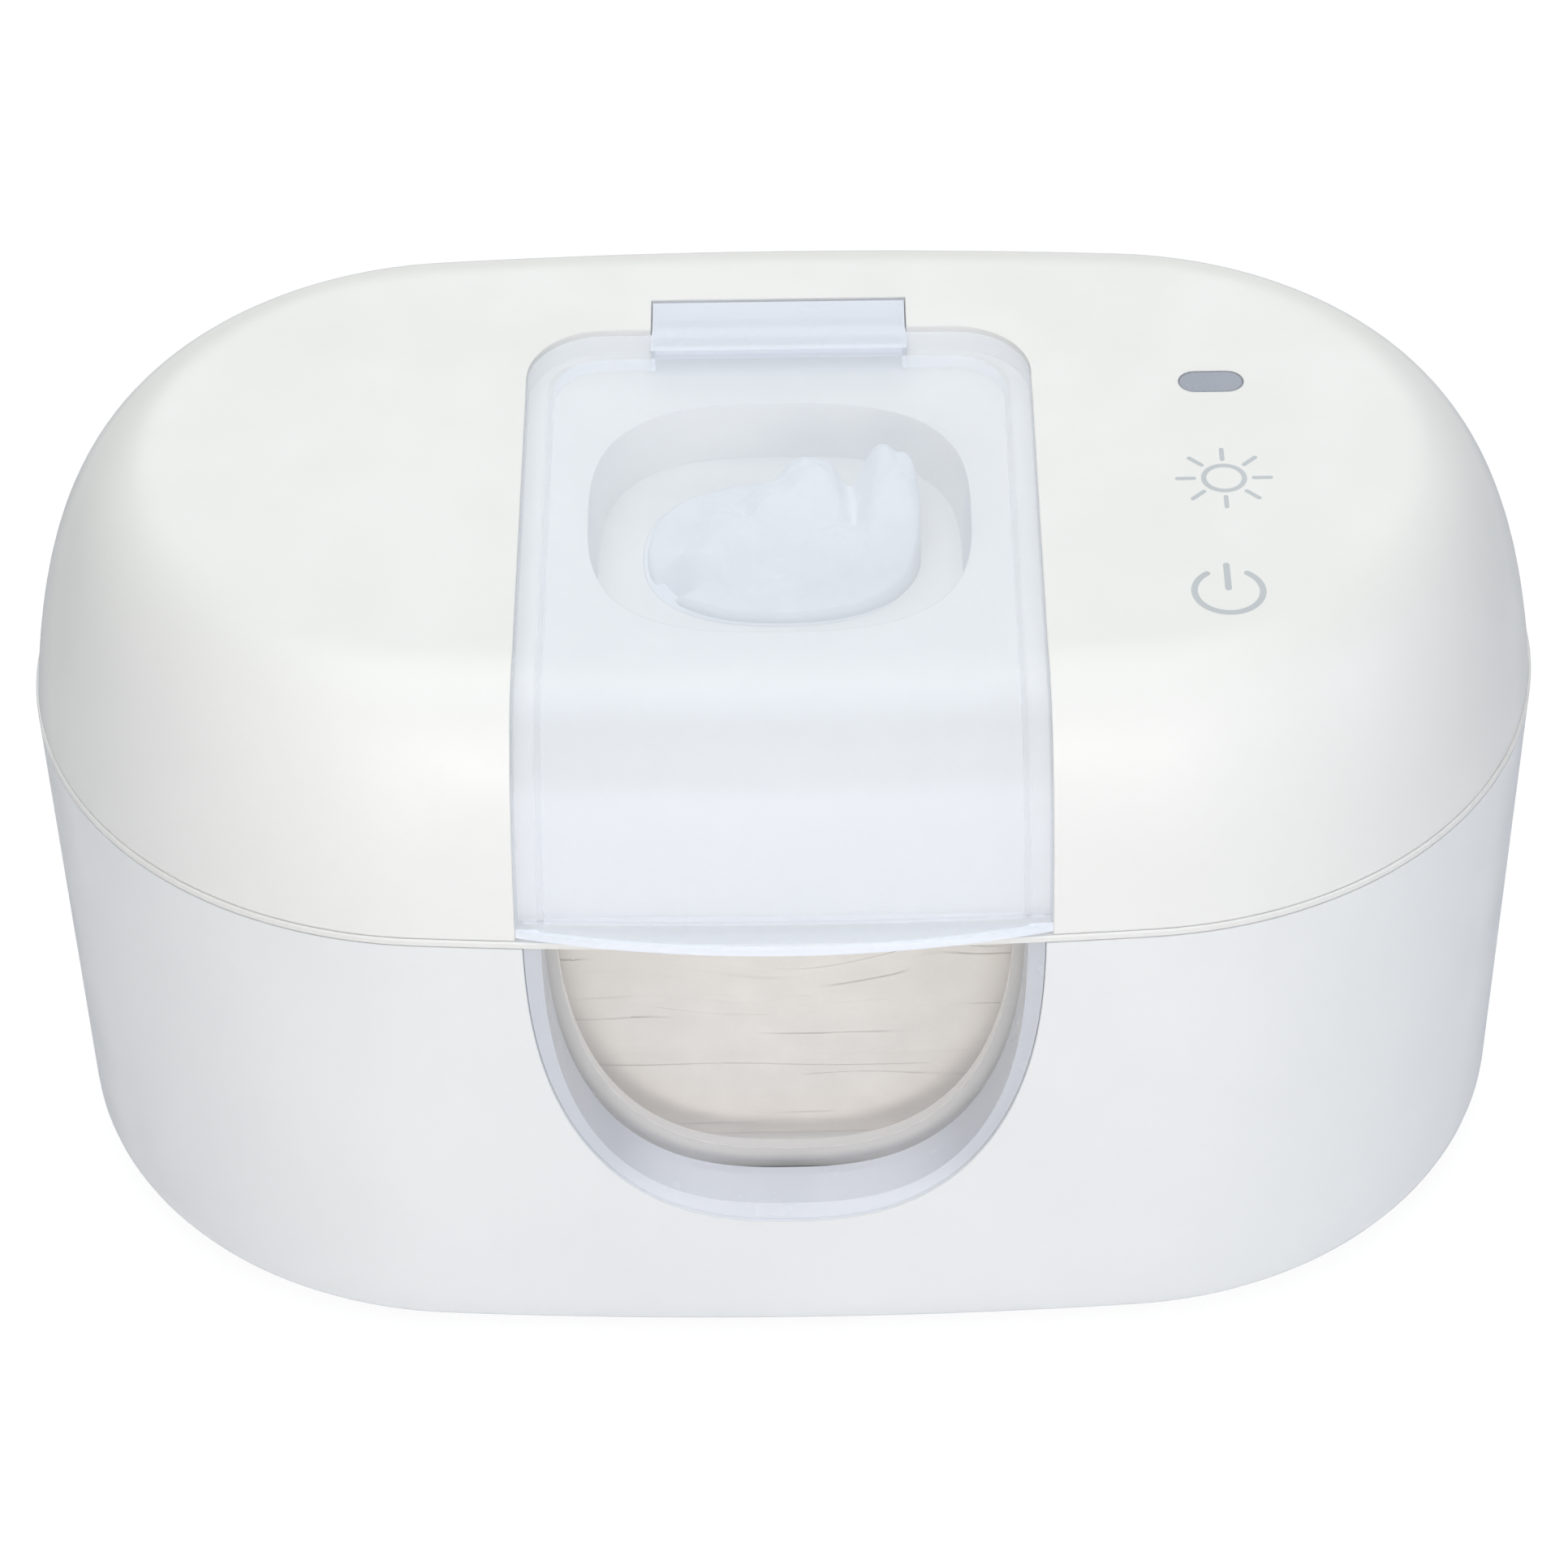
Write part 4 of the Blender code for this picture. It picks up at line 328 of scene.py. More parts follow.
def make_materials():
    # The cover and base plastics take the painted shade at their outline.
    casing_gloss, casing = (0.34, 0.46), {"rim": True, "Specular_IOR_Level": 0.4}
    metal = {"Metallic": 1.0}
    return {
        "cover_plastic": moulded("cover_satin", (0.875, 0.87, 0.845), (0.905, 0.90, 0.875), casing_gloss, **casing),
        "casing_plastic": moulded("base_satin", (0.86, 0.87, 0.875), (0.89, 0.90, 0.90), casing_gloss, **casing),
        "tank_plastic": tank_plastic(),
        "lens_plastic": moulded(
            "lens_grey", (0.16, 0.19, 0.24), (0.21, 0.24, 0.295), (0.20, 0.32), edge=0.0006, Coat_Weight=0.3
        ),
        "grey_rubber": moulded("soft_rubber", (0.52, 0.53, 0.56), (0.60, 0.61, 0.64), (0.62, 0.80), 0.00003, 0),
        "mouth_silicone": moulded("pale_silicone", (0.84, 0.86, 0.91), (0.88, 0.90, 0.94), (0.45, 0.60), 0.00002, 0),
        "black_plastic": moulded("black_moulding", (0.02, 0.02, 0.02), (0.04, 0.04, 0.042), (0.40, 0.55), edge=0),
        "steel": moulded("turned_steel", (0.56, 0.57, 0.58), (0.68, 0.68, 0.69), (0.22, 0.36), 0.00001, 0, **metal),
        "aluminium": moulded("rolled_alloy", (0.74, 0.75, 0.76), (0.83, 0.83, 0.84), (0.28, 0.44), 0.00001, 0, **metal),
        "heater_film": moulded("amber_film", (0.55, 0.22, 0.05), (0.68, 0.31, 0.08), (0.25, 0.40), edge=0),
        "foam": moulded("grey_foam", (0.14, 0.14, 0.15), (0.24, 0.24, 0.25), (0.88, 0.98), 0.00025, 0),
        "circuit_board": moulded("green_board", (0.02, 0.13, 0.06), (0.04, 0.20, 0.09), (0.32, 0.50), 0.00002, 0),
        "wire": moulded("red_wire", (0.45, 0.03, 0.02), (0.55, 0.05, 0.04), (0.40, 0.55), edge=0),
        "ink": moulded("grey_ink", (0.52, 0.55, 0.57), (0.59, 0.62, 0.64), (0.45, 0.60), 0.000008, 0),
        "clear_plastic": lid_plastic(),
        "window_clear": window_plastic(),
        "catch_clear": moulded("catch_milky", (0.62, 0.65, 0.72), (0.68, 0.71, 0.78), (0.3, 0.5), edge=0),
        "gasket_clear": moulded("gasket_clear", (0.86, 0.88, 0.90), (0.90, 0.92, 0.94), (0.3, 0.5), edge=0, Alpha=0.10),
        "wipe_cloth": cloth("wipe_fabric", (0.82, 0.84, 0.865), (0.87, 0.885, 0.905), (0.95, 0.97, 1.0), 0.03),
        # Painted shade and warm painted light: the wipes in the tank are a darker, warmer copy of the drawn wipe's
        # cloth.
        "stack_cloth": cloth(
            "stack_fabric", (0.66, 0.635, 0.605), (0.72, 0.695, 0.665), (1.0, 0.935, 0.88), 0.235, behind_window=True
        ),
    }


def lid_plastic():
    """Thin milky polypropylene; its hinge leaf and lower lip are the thickest and so the least clear."""
    made = Shader("lid_clear", (0.80, 0.85, 0.94), 0.26, IOR=1.49, Specular_IOR_Level=0.2)
    made.gloss(120, 0.20, 0.32)
    made.main.inputs["Emission Color"].default_value = (0.92, 0.93, 1.0, 1)
    x, y, z = made.axes()
    leaf_front = MIDDLE_Y + LID_BACK - 0.0037
    behind = made.step(y, leaf_front, leaf_front + 0.0002, 0, 1)
    within = made.step(made.calc("ABSOLUTE", x, 0), LEAF_HALF + 0.0001, LEAF_HALF + 0.0003, 1, 0)
    leaf = made.calc("MULTIPLY", behind, within)
    swell = made.calc("MULTIPLY", made.calc("MULTIPLY", x, x), LIP_BOW / LIP_HALF**2)
    inward = made.calc("SUBTRACT", made.calc("ADD", front_depth(made), LIP_BOW - COVER_STEP), swell)
    low = made.step(z, RIM + 0.0022, RIM + 0.0024, 1, 0)
    lip = made.calc("MULTIPLY", made.step(inward, 0.0007, 0.0010, 1, 0), low)
    made.tint(40, (0.835, 0.875, 0.945), (0.85, 0.885, 0.955))
    # Painted shade: the lid's bend is given a darker colour.
    above, under = made.step(z, TOP - 0.018, TOP - 0.013, 0, 1), made.step(z, TOP - 0.010, TOP - 0.0005, 1, 0)
    bend = made.calc("MULTIPLY", above, under)
    made.recolour(bend, (0.735, 0.772, 0.83))
    solid = made.calc("MAXIMUM", made.step(leaf, 0, 1, 0.26, 0.70), made.step(lip, 0, 1, 0, 0.70))
    made.link(solid, made.main.inputs["Alpha"])
    # Painted light: a faint emission over the lid, weaker on the hinge leaf and at the bend.
    glow = made.calc("MULTIPLY", made.step(leaf, 0, 1, 0.13, 0.09), made.step(bend, 0, 1, 1, 0.65))
    made.link(glow, made.main.inputs["Emission Strength"])
    return made.bump(made.noise(320, 2), 0.000012).material


def front_depth(made):
    """How far a point lies behind the casing's bowed and leaning front wall."""
    x, y, z = made.axes()
    bow = made.calc("DIVIDE", made.calc("MULTIPLY", x, x), 2 * SIDE_RADIUS)
    lean = made.calc("MULTIPLY", made.calc("SUBTRACT", RIM, z), math.tan(DRAFT))
    return made.calc("SUBTRACT", made.calc("ADD", y, DEPTH / 2 - MIDDLE_Y), made.calc("ADD", bow, lean))


def tank_plastic():
    """White tank plastic that glows a little where the window lets light onto its front wall."""
    made = Shader("tank_satin", (0.84, 0.83, 0.80), 0.36)
    made.tint(28, (0.84, 0.83, 0.80), (0.89, 0.88, 0.86)).gloss(90, 0.30, 0.42)
    x, _, z = made.axes()
    # Painted light: an emission on the front wall where it shows through the window.
    strength = 0.13
    wall_back = TANK_INSET + TANK_WALL + 0.0071
    near = made.step(front_depth(made), wall_back, wall_back + 0.002, strength, 0)
    below = made.step(z, RIM - 0.007, RIM - 0.004, 1, 0)
    within = made.step(made.calc("ABSOLUTE", x, 0), NOTCH_HALF + 0.0009, NOTCH_HALF + 0.0069, 1, 0)
    glow = made.calc("MULTIPLY", made.calc("MULTIPLY", near, below), within)
    made.main.inputs["Emission Color"].default_value = (1.0, 0.965, 0.92, 1)
    made.link(glow, made.main.inputs["Emission Strength"])
    # Painted shade: the same patch is given a darker colour.
    made.recolour(made.calc("MULTIPLY", glow, 1 / strength), (0.74, 0.72, 0.70))
    return made.bump(made.noise(2600, 2), 0.000012).material


def window_plastic():
    """The same plastic, milky where it is a thick band and nearly clear in the polished pane."""
    made = Shader("window_milky", (0.57, 0.59, 0.64), 0.22, IOR=1.49)
    made.tint(40, (0.55, 0.572, 0.62), (0.60, 0.62, 0.67)).gloss(120, 0.16, 0.30)
    made.main.inputs["Emission Color"].default_value = (0.95, 0.96, 1.0, 1)
    # Painted light: the band glows with an emission, strongest towards its bottom.
    low = NOTCH_BOTTOM + 0.0035
    glow = made.step(made.axes()["Z"], low, low + 0.012, 0.25, 0.09)
    made.link(glow, made.main.inputs["Emission Strength"])
    clear = made.step(front_depth(made), PANE_SETBACK - 0.0003, PANE_SETBACK - 0.0001, 0.90, 0.06)
    made.link(clear, made.main.inputs["Alpha"])
    return made.bump(made.noise(320, 2), 0.000012).material


def cloth(name, low, high, glow, strength, behind_window=False):
    """Soft nonwoven: a felted web of short fibres that lets some light through, with a faint embossed grain.

    Behind the window this painted light fades to the sides and the bottom.
    """
    made = Shader(name, low, 0.92, Sheen_Weight=0.25, Sheen_Roughness=0.5)
    # Painted light: a faint emission in the glow colour.
    made.main.inputs["Emission Color"].default_value = (*glow, 1)
    made.main.inputs["Emission Strength"].default_value = strength
    if behind_window:
        x, _, z = made.axes()
        across = made.step(made.calc("ABSOLUTE", x, 0), 0.006, 0.036, strength, 0.55 * strength)
        faded = made.calc("MULTIPLY", across, made.step(z, 0.030, 0.066, 0.70, 1.0))
        made.link(faded, made.main.inputs["Emission Strength"])
    made.tint(180, low, high)
    web = made.calc("ADD", made.noise(1500, 6, (1, 2.4, 1)), made.noise(420, 4))
    return made.bump(web, 0.00007).material


# Outlines


def arc(centre, radius, start, end, steps):
    angles = [start + (end - start) * i / steps for i in range(steps + 1)]
    return [(centre[0] + radius * math.cos(a), centre[1] + radius * math.sin(a)) for a in angles]


def circle(radius, centre, steps):
    """A full circle as an arc that stops one step short, so that no corner comes twice."""
    return arc(centre, radius, 0, 2 * math.pi * (1 - 1 / steps), steps - 1)


def rounded_rectangle(width, height, radius, centre=(0, 0), steps=10):
    x, y = width / 2 - radius, height / 2 - radius
    points = []
    for (cx, cy), start in (((x, -y), -90), ((x, y), 0), ((-x, y), 90), ((-x, -y), 180)):
        middle = (centre[0] + cx, centre[1] + cy)
        points += arc(middle, radius, math.radians(start), math.radians(start + 90), steps)
    return points


def squared(angle, power):
    """The point of a unit superellipse at this angle."""
    x, y = math.cos(angle), math.sin(angle)
    return math.copysign(abs(x) ** (2 / power), x), math.copysign(abs(y) ** (2 / power), y)


def superellipse(width, height, power, centre=(0, 0), steps=96):
    points = []
    for i in range(steps):
        x, y = squared(2 * math.pi * i / steps, power)
        points.append((centre[0] + x * width / 2, centre[1] + y * height / 2))
    return points


def notch_outline(half_width, bottom, top, power, steps=72):
    """The window's U: the lower half of a superellipse about the rim, carried up or cut off level at top."""
    points = []
    for i in range(steps + 1):
        x, z = squared(math.pi * (1 + i / steps), power)
        points.append((half_width * x, RIM + (RIM - bottom) * z))
    if top > RIM:
        return points + [(half_width, top), (-half_width, top)]
    kept = [(x, z) for x, z in points if z < top - 0.0001]
    edge = half_width * (1 - ((RIM - top) / (RIM - bottom)) ** power) ** (1 / power)
    return [(-edge, top)] + kept + [(edge, top)]


def side_reach(x):
    """How far the bowed long side stands from the middle at x."""
    return DEPTH / 2 - SIDE_RADIUS + math.sqrt(SIDE_RADIUS**2 - x**2)


def oval(inset, ends=72, sides=24):
    """The body's outline: two gently bowed long sides run into two round ends."""
    side_y = SIDE_RADIUS - DEPTH / 2
    turn = math.atan2(END_X, side_y)
    side, end, quarter = SIDE_RADIUS - inset, END_RADIUS - inset, math.pi / 2
    points = arc((0, side_y), side, -quarter - turn, -quarter + turn, sides)[:-1]
    points += arc((END_X, 0), end, -quarter + turn, quarter - turn, ends)[:-1]
    points += arc((0, -side_y), side, quarter - turn, quarter + turn, sides)[:-1]
    return points + arc((-END_X, 0), end, quarter + turn, 3 * quarter - turn, ends)[:-1]


def wall_inset(z):
    """How far the casing's leaning wall has come in at this height."""
    return (RIM - z) * math.tan(DRAFT)


def base_profile(offset, fillet, bottom, top, steps=10):
    """Insets and heights up the casing's wall, from a rounded foot; the wall's rings keep the shading even."""
    wall_rings = 6
    middle = (wall_inset(bottom + fillet) + offset + fillet, bottom + fillet)
    quarter = math.pi / 2
    rounded = arc(middle, fillet, -quarter, -2 * quarter, steps)
    low, high = rounded[-1], (wall_inset(top) + offset, top)
    shares = [k / wall_rings for k in range(1, wall_rings + 1)]
    return rounded + [(low[0] + (high[0] - low[0]) * t, low[1] + (high[1] - low[1]) * t) for t in shares]


def cover_profile(offset, bottom, steps=36):
    """Insets and heights up the domed cover: a Bezier curve, moved in by offset and carried down to bottom."""
    handles = (
        (COVER_STEP, RIM + FIT),
        (COVER_STEP + SIDE_PULL * math.sin(COVER_DRAFT), RIM + FIT + SIDE_PULL * math.cos(COVER_DRAFT)),
        (TOP_INSET - SHOULDER_PULL, TOP),
        (TOP_INSET, TOP),
    )
    points = []
    for i in range(steps + 1):
        t = i / steps
        weights = ((1 - t) ** 3, 3 * t * (1 - t) ** 2, 3 * t * t * (1 - t), t**3)
        slopes = (-((1 - t) ** 2), (1 - t) ** 2 - 2 * t * (1 - t), 2 * t * (1 - t) - t * t, t * t)
        place = [sum(w * h[k] for w, h in zip(weights, handles)) for k in (0, 1)]
        along = [sum(s * h[k] for s, h in zip(slopes, handles)) for k in (0, 1)]
        size = math.hypot(*along)
        points.append((place[0] + offset * along[1] / size, place[1] - offset * along[0] / size))
    inset, height = points[0]
    if bottom >= height:
        points = [p for p in points if p[1] > bottom + FIT]
    return [(inset + (bottom - height) * math.tan(COVER_DRAFT), bottom)] + points


# Mesh helpers


def new_object(name, mesh):
    obj = bpy.data.objects.new(name, mesh)
    bpy.context.scene.collection.objects.link(obj)
    return obj


def loft(name, rings):
    """Skins rings of equal count and caps both ends; drawn about the body's middle and set in place."""
    mesh = bpy.data.meshes.new(name)
    work = bmesh.new()
    rows = [[work.verts.new((x, y + MIDDLE_Y, z)) for x, y, z in ring] for ring in rings]
    count = len(rows[0])
    for low, high in zip(rows, rows[1:]):
        for i in range(count):
            j = (i + 1) % count
            work.faces.new((low[i], low[j], high[j], high[i]))
    work.faces.new(list(reversed(rows[0])))
    work.faces.new(rows[-1])
    work.to_mesh(mesh)
    work.free()
    return new_object(name, mesh)


def prism(name, outline, axis, low, high):
    """An outline drawn out along one axis; the outline gives the two other coordinates in order."""
    if axis == "X":
        return loft(name, [[(h, a, b) for a, b in outline] for h in (low, high)])
    if axis == "Y":
        return loft(name, [[(a, h, b) for a, b in outline] for h in (high, low)])
    return loft(name, [[(a, b, h) for a, b in outline] for h in (low, high)])


def box(name, low, high):
    corners = [(low[0], low[1]), (high[0], low[1]), (high[0], high[1]), (low[0], high[1])]
    return prism(name, corners, "Z", low[2], high[2])


def oval_solid(name, profile, ends=72, sides=24):
    return loft(name, [[(x, y, z) for x, y in oval(inset, ends, sides)] for inset, z in profile])


def boolean(target, *steps):
    """Applies a row of (operation, object) Booleans to target and removes the operands."""
    for operation, other in steps:
        modifier = target.modifiers.new(other.name, "BOOLEAN")
        modifier.operation, modifier.solver, modifier.object = operation, "EXACT", other
    graph = bpy.context.evaluated_depsgraph_get()
    mesh = bpy.data.meshes.new_from_object(target.evaluated_get(graph))
    target.modifiers.clear()
    old, target.data = target.data, mesh
    bpy.data.meshes.remove(old)
    for _, other in steps:
        bpy.data.objects.remove(other, do_unlink=True)
    return target


def cut(target, *others):
    return boolean(target, *[("DIFFERENCE", other) for other in others])


def join(target, *others):
    return boolean(target, *[("UNION", other) for other in others])


def keep(target, other):
    return boolean(target, ("INTERSECT", other))


def dress(obj, body, material, stands_for=(), smooth=34.0):
    """Shades a finished piece, gives it its material and hangs it on its body."""
    obj.data.materials.clear()
    obj.data.materials.append(material)
    obj.data.shade_smooth()
    if smooth:
        obj.data.set_sharp_from_angle(angle=math.radians(smooth))
    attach(obj, body)
    if stands_for:
        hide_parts(*stands_for)
    return obj


def wall_slab(name, outer, inner, low, high):
    """The layer between two depths behind the casing's outer wall."""
    slab = oval_solid(name, [(wall_inset(z) + outer, z) for z in (low, high)])
    core = [(wall_inset(z) + inner, z) for z in (low - WALL, high + WALL)]
    return cut(slab, oval_solid(name + "_core", core))


# Base


def hinge_bore(reach):
    return prism("bore", circle(HINGE_BORE, HINGE, 24), "X", -reach, reach)


def knuckle_spans():
    """The casing's knuckles stand on both sides of each of the cover's two arms."""
    near, far = HINGE_ARM + 0.0004, HINGE_ARM + 0.0064
    for middle in (-HINGE_X, HINGE_X):
        yield middle - far, middle - near
        yield middle + near, middle + far


def make_base(paint):
    shell = oval_solid("base_shell", base_profile(0, FILLET, FOOT, CASING_TOP + SEAM))
    lip_low = FOOT + 0.0025 + FIT
    cavity = oval_solid("cavity", base_profile(WALL, FILLET - WALL, lip_low + 0.002, CASING_TOP + WALL, 4))
    step = oval_solid("step", [(0.0112, FOOT - WALL), (0.0112, lip_low)])
    hole = oval_solid("hole", [(0.0158, FOOT - WALL), (0.0158, CASING_TOP)])
    notch = window_prism("notch", 0, RIM + WALL, -DEPTH / 2 + PANE_SETBACK)
    jack = prism("jack_hole", circle(JACK_RADIUS, (0, JACK_Z), 40), "Y", DEPTH / 2 - 5 * WALL, DEPTH)
    cut(shell, cavity, step, hole, notch, jack)
    y, z = HINGE
    inside = side_reach(0.050) - WALL - y
    top = CASING_TOP - z - FIT
    radius, out, drop = KNUCKLE_RADIUS, 0.0055, 0.011
    shape = [(inside, -drop), (-radius, -drop), (out, -WALL), (out, radius)]
    shape += arc((0, 0), radius, math.pi / 2, math.pi, 10) + [(-radius, top), (inside, top)]
    outline = [(y + a, z + b) for a, b in shape]
    join(shell, *[prism("knuckle", outline, "X", left, right) for left, right in knuckle_spans()])
    cut(shell, hinge_bore(HINGE_X + 0.020))
    dress(shell, "base", paint["casing_plastic"], ("base_casing",))


def window_prism(name, grow, top, back):
    """The window's U, larger by grow, from in front of the casing back to a depth."""
    return prism(name, notch_outline(NOTCH_HALF + grow, NOTCH_BOTTOM - grow, top, NOTCH_POWER), "Y", -DEPTH, back)


def pane_outline(grow, top):
    return notch_outline(NOTCH_HALF - PANE_SIDE + grow, NOTCH_BOTTOM + PANE_LOW - grow, top, PANE_POWER)


def make_window(paint):
    """A milky band that fills the notch, a flange behind it and a dished pane with a thin clear front.

    The layers are built past the rim and trimmed level together, which keeps the Booleans clean.
    """
    inside = -DEPTH / 2 + 2 * PANE_SETBACK
    behind = WALL + FIT + WINDOW_WALL
    low, high = NOTCH_BOTTOM - 0.0124, RIM + 4 * WALL
    sink, snug, flange_reach = 0.0006, 0.00008, 0.003
    window = window_prism("window_shell", -snug, RIM + WALL, inside)
    keep(window, wall_slab("band", sink, behind, low, high))
    flange = window_prism("flange", flange_reach, RIM + 2 * WALL, inside)
    keep(flange, wall_slab("flange_layer", WALL + FIT, behind - FIT, low, high))
    inset = PANE_SETBACK + WINDOW_WALL
    dish = prism("dish", pane_outline(WINDOW_WALL, RIM + 3 * WALL), "Y", -DEPTH, inside)
    keep(dish, wall_slab("dish_layer", WALL / 2, inset, low, high))
    recess = prism("recess", pane_outline(0, high + WALL), "Y", -DEPTH, inside)
    core = [(wall_inset(z) + PANE_SETBACK, z) for z in (low - WALL, high + 2 * WALL)]
    cut(recess, oval_solid("core", core))
    join(window, flange, dish)
    cut(window, recess, box("trim", (-LENGTH / 2, -DEPTH, CASING_TOP), (LENGTH / 2, 0, high + 2 * WALL)))
    dress(window, "base", paint["window_clear"], ("viewing_window",))
    return behind - WINDOW_WALL / 2, inset


def make_catch(paint, front_inset, back_inset):
    """The catch and its two pegs, which show through the band under the pane."""
    top = NOTCH_BOTTOM + PANE_LOW - WINDOW_WALL / 2
    front, back = (-DEPTH / 2 + wall_inset(top) + inset for inset in (front_inset, back_inset))
    half, slot_half = 0.0036, 0.0016
    catch = box("window_catch", (-half, front, top - 0.0062), (half, back - 0.0022, top - 0.0004))
    slot = box("slot", (-slot_half, front + WINDOW_WALL, top - 0.0065), (slot_half, back + FIT, top - 0.0031))
    pegs = [circle(PEG_RADIUS, (x, NOTCH_BOTTOM - PEG_RADIUS / 2), 24) for x in (-PEG_X, PEG_X)]
    cut(catch, slot)
    join(catch, *[prism("peg", outline, "Y", front, back) for outline in pegs])
    dress(catch, "base", paint["catch_clear"])


def make_tank(paint):
    """The wipe tank: its rim flange is the band that shows between casing and cover."""
    profile = base_profile(TANK_INSET, TANK_FILLET, TANK_BOTTOM, CASING_TOP + FIT, 6)
    tank = oval_solid("tank_shell", profile)
    edge, under = 0.00018, CASING_TOP + FIT
    join(tank, oval_solid("flange", [(edge, under), (0, under + edge), (0, RIM - edge), (edge, RIM)]))
    boss_low, pilot_top = 0.0058, 0.0184
    for x in (-BOSS_X, BOSS_X):
        for y in (-BOSS_Y, BOSS_Y):
            boss = prism("boss", circle(BOSS_RADIUS, (x, y), 32), "Z", boss_low, TANK_FLOOR - FIT)
            join(tank, cut(boss, prism("pilot", circle(PILOT_RADIUS, (x, y), 20), "Z", 0, pilot_top)))
    profile = base_profile(TANK_INSET + TANK_WALL, TANK_FILLET - TANK_WALL, TANK_FLOOR, RIM + WALL, 6)
    cut(tank, oval_solid("tank_inside", profile))
    hole = pane_outline(WINDOW_WALL / 2 - 0.0022, CASING_TOP)
    cut(tank, prism("tank_hole", hole, "Y", -DEPTH, -DEPTH / 2 + 3 * PANE_SETBACK))
    half, back = 0.0083, DEPTH / 2 - 0.004 + FIT
    cut(tank, box("contact_slot", (-half, back - 0.005 - 2 * FIT, CASING_TOP - FIT), (half, back, RIM + WALL)))
    dress(tank, "base", paint["tank_plastic"], ("wipe_tank",))


def make_seal(paint):
    low, high, inset, chamfer = RIM + FIT, RIM + 0.002, 0.0098, 0.0004
    seal = oval_solid("seal_ring", [(inset + FIT, low), (inset, low + chamfer), (inset, high)])
    cut(seal, oval_solid("seal_hole", [(0.0124, low - WALL), (0.0124, high + WALL)]))
    dress(seal, "cover", paint["grey_rubber"], ("cover_seal",))


# Cover


def lid_outline(grow_side, grow_back):
    """The lid from above: round corners at the back, sides that part a little past the bend."""
    half, back = LID_HALF + grow_side, LID_BACK + grow_back
    corner = LID_CORNER + min(grow_side, grow_back)
    slope = 0.0009 / (-CHANNEL_BEND_Y - DEPTH / 2)
    widest = half + slope * (-CHANNEL_BEND_Y - DEPTH)
    points = [(widest, -DEPTH), (half, CHANNEL_BEND_Y)]
    points += arc((half - corner, back - corner), corner, 0, math.pi / 2, 20)
    points += arc((corner - half, back - corner), corner, math.pi / 2, math.pi, 20)
    return points + [(-half, CHANNEL_BEND_Y), (-widest, -DEPTH)]


def channel(name, grow=0.0):
    """What the lid's channel takes out of the dome."""
    made = prism(name, lid_outline(0.0006 + grow, 0.0019 + grow), "Z", RIM - 2 * WALL, TOP + WALL)
    return cut(made, oval_solid(name + "_floor", cover_profile(CHANNEL_DEPTH + grow, RIM - 4 * WALL)))


def funnel(name, grow, top):
    """The well round the mouth, which narrows a little to its floor."""
    rings = []
    width, depth, middle = 0.0584, 0.056, -0.0114
    slope = 0.0012 / FUNNEL_DEPTH
    for z in (FUNNEL_FLOOR - grow, top):
        spread = 2 * (grow - slope * (CHANNEL_FLOOR - z))
        outline = superellipse(width + spread, depth + spread, 2.9, (0, middle))
        rings.append([(x, y, z) for x, y in outline])
    return loft(name, rings)


def pocket(name, grow, top):
    """The room for the lid's barrel and leaf."""
    half, reach = POCKET_HALF + grow, 0.0047 + grow
    return box(name, (-half, LID_AXIS[0] - reach, LID_AXIS[1] - reach), (half, LID_AXIS[0] + reach, top))


def mouth_oval(width, depth):
    return superellipse(width, depth, MOUTH_POWER, (0, MOUTH_Y))


def make_cover(paint):
    shell = oval_solid("cover_shell", cover_profile(0, RIM + FIT - SEAM))
    hollow = oval_solid("hollow", cover_profile(WALL, RIM + FIT - WALL, 10), 36, 10)
    cut(hollow, channel("channel_shell", WALL), funnel("funnel_shell", WALL, TOP), pocket("pocket_shell", WALL, TOP))
    leaf_sweep = arc(LID_AXIS, 0.0055, -0.9, 1.2, 16) + [LID_AXIS]
    lens = rounded_rectangle(0.01016, 0.00546, 0.00270, LENS)
    cut(
        shell,
        channel("channel_cut"),
        hollow,
        funnel("funnel_cut", 0, TOP + WALL),
        pocket("pocket_cut", 0, TOP + WALL),
        prism("leaf_sweep", leaf_sweep, "X", -POCKET_HALF, POCKET_HALF),
        prism("mouth_hole", mouth_oval(0.042, 0.034), "Z", RIM, TOP),
        prism("lens_hole", lens, "Z", TOP - 0.005, TOP + WALL),
    )
    y, z = HINGE
    low = RIM + 2 * FIT - z
    inside = side_reach(HINGE_X + HINGE_ARM) - COVER_STEP - WALL / 2 - y
    rise = 0.011
    shape = [(inside, low)] + arc((0, 0), KNUCKLE_RADIUS, math.pi, 2.3 * math.pi, 24)
    shape += [(inside - rise * math.tan(COVER_DRAFT), low + rise)]
    outline = [(y + a, z + b) for a, b in shape]
    join(shell, *[prism("arm", outline, "X", x - HINGE_ARM, x + HINGE_ARM) for x in (-HINGE_X, HINGE_X)])
    pin_reach = POCKET_HALF + WALL
    cut(shell, hinge_bore(HINGE_X + 0.014))
    cut(shell, prism("pin_bore", circle(LID_BORE, LID_AXIS, 16), "X", -pin_reach, pin_reach))
    dress(shell, "cover", paint["cover_plastic"], ("top_cover",))


def make_mouth(paint):
    low = MOUTH_TOP - 0.002
    ring = prism("mouth_ring", mouth_oval(0.05, 0.042), "Z", low, MOUTH_TOP)
    lip = prism("lip", mouth_oval(0.04196, 0.03396), "Z", low + FIT, FUNNEL_FLOOR)
    well = prism("well", mouth_oval(0.0376, 0.0296), "Z", low + 0.0012, TOP)
    slot = prism("slot", mouth_oval(0.034, 0.025), "Z", RIM, TOP)
    boolean(ring, ("UNION", lip), ("DIFFERENCE", well), ("DIFFERENCE", slot))
    dress(ring, "cover", paint["mouth_silicone"], ("dispensing_mouth",))


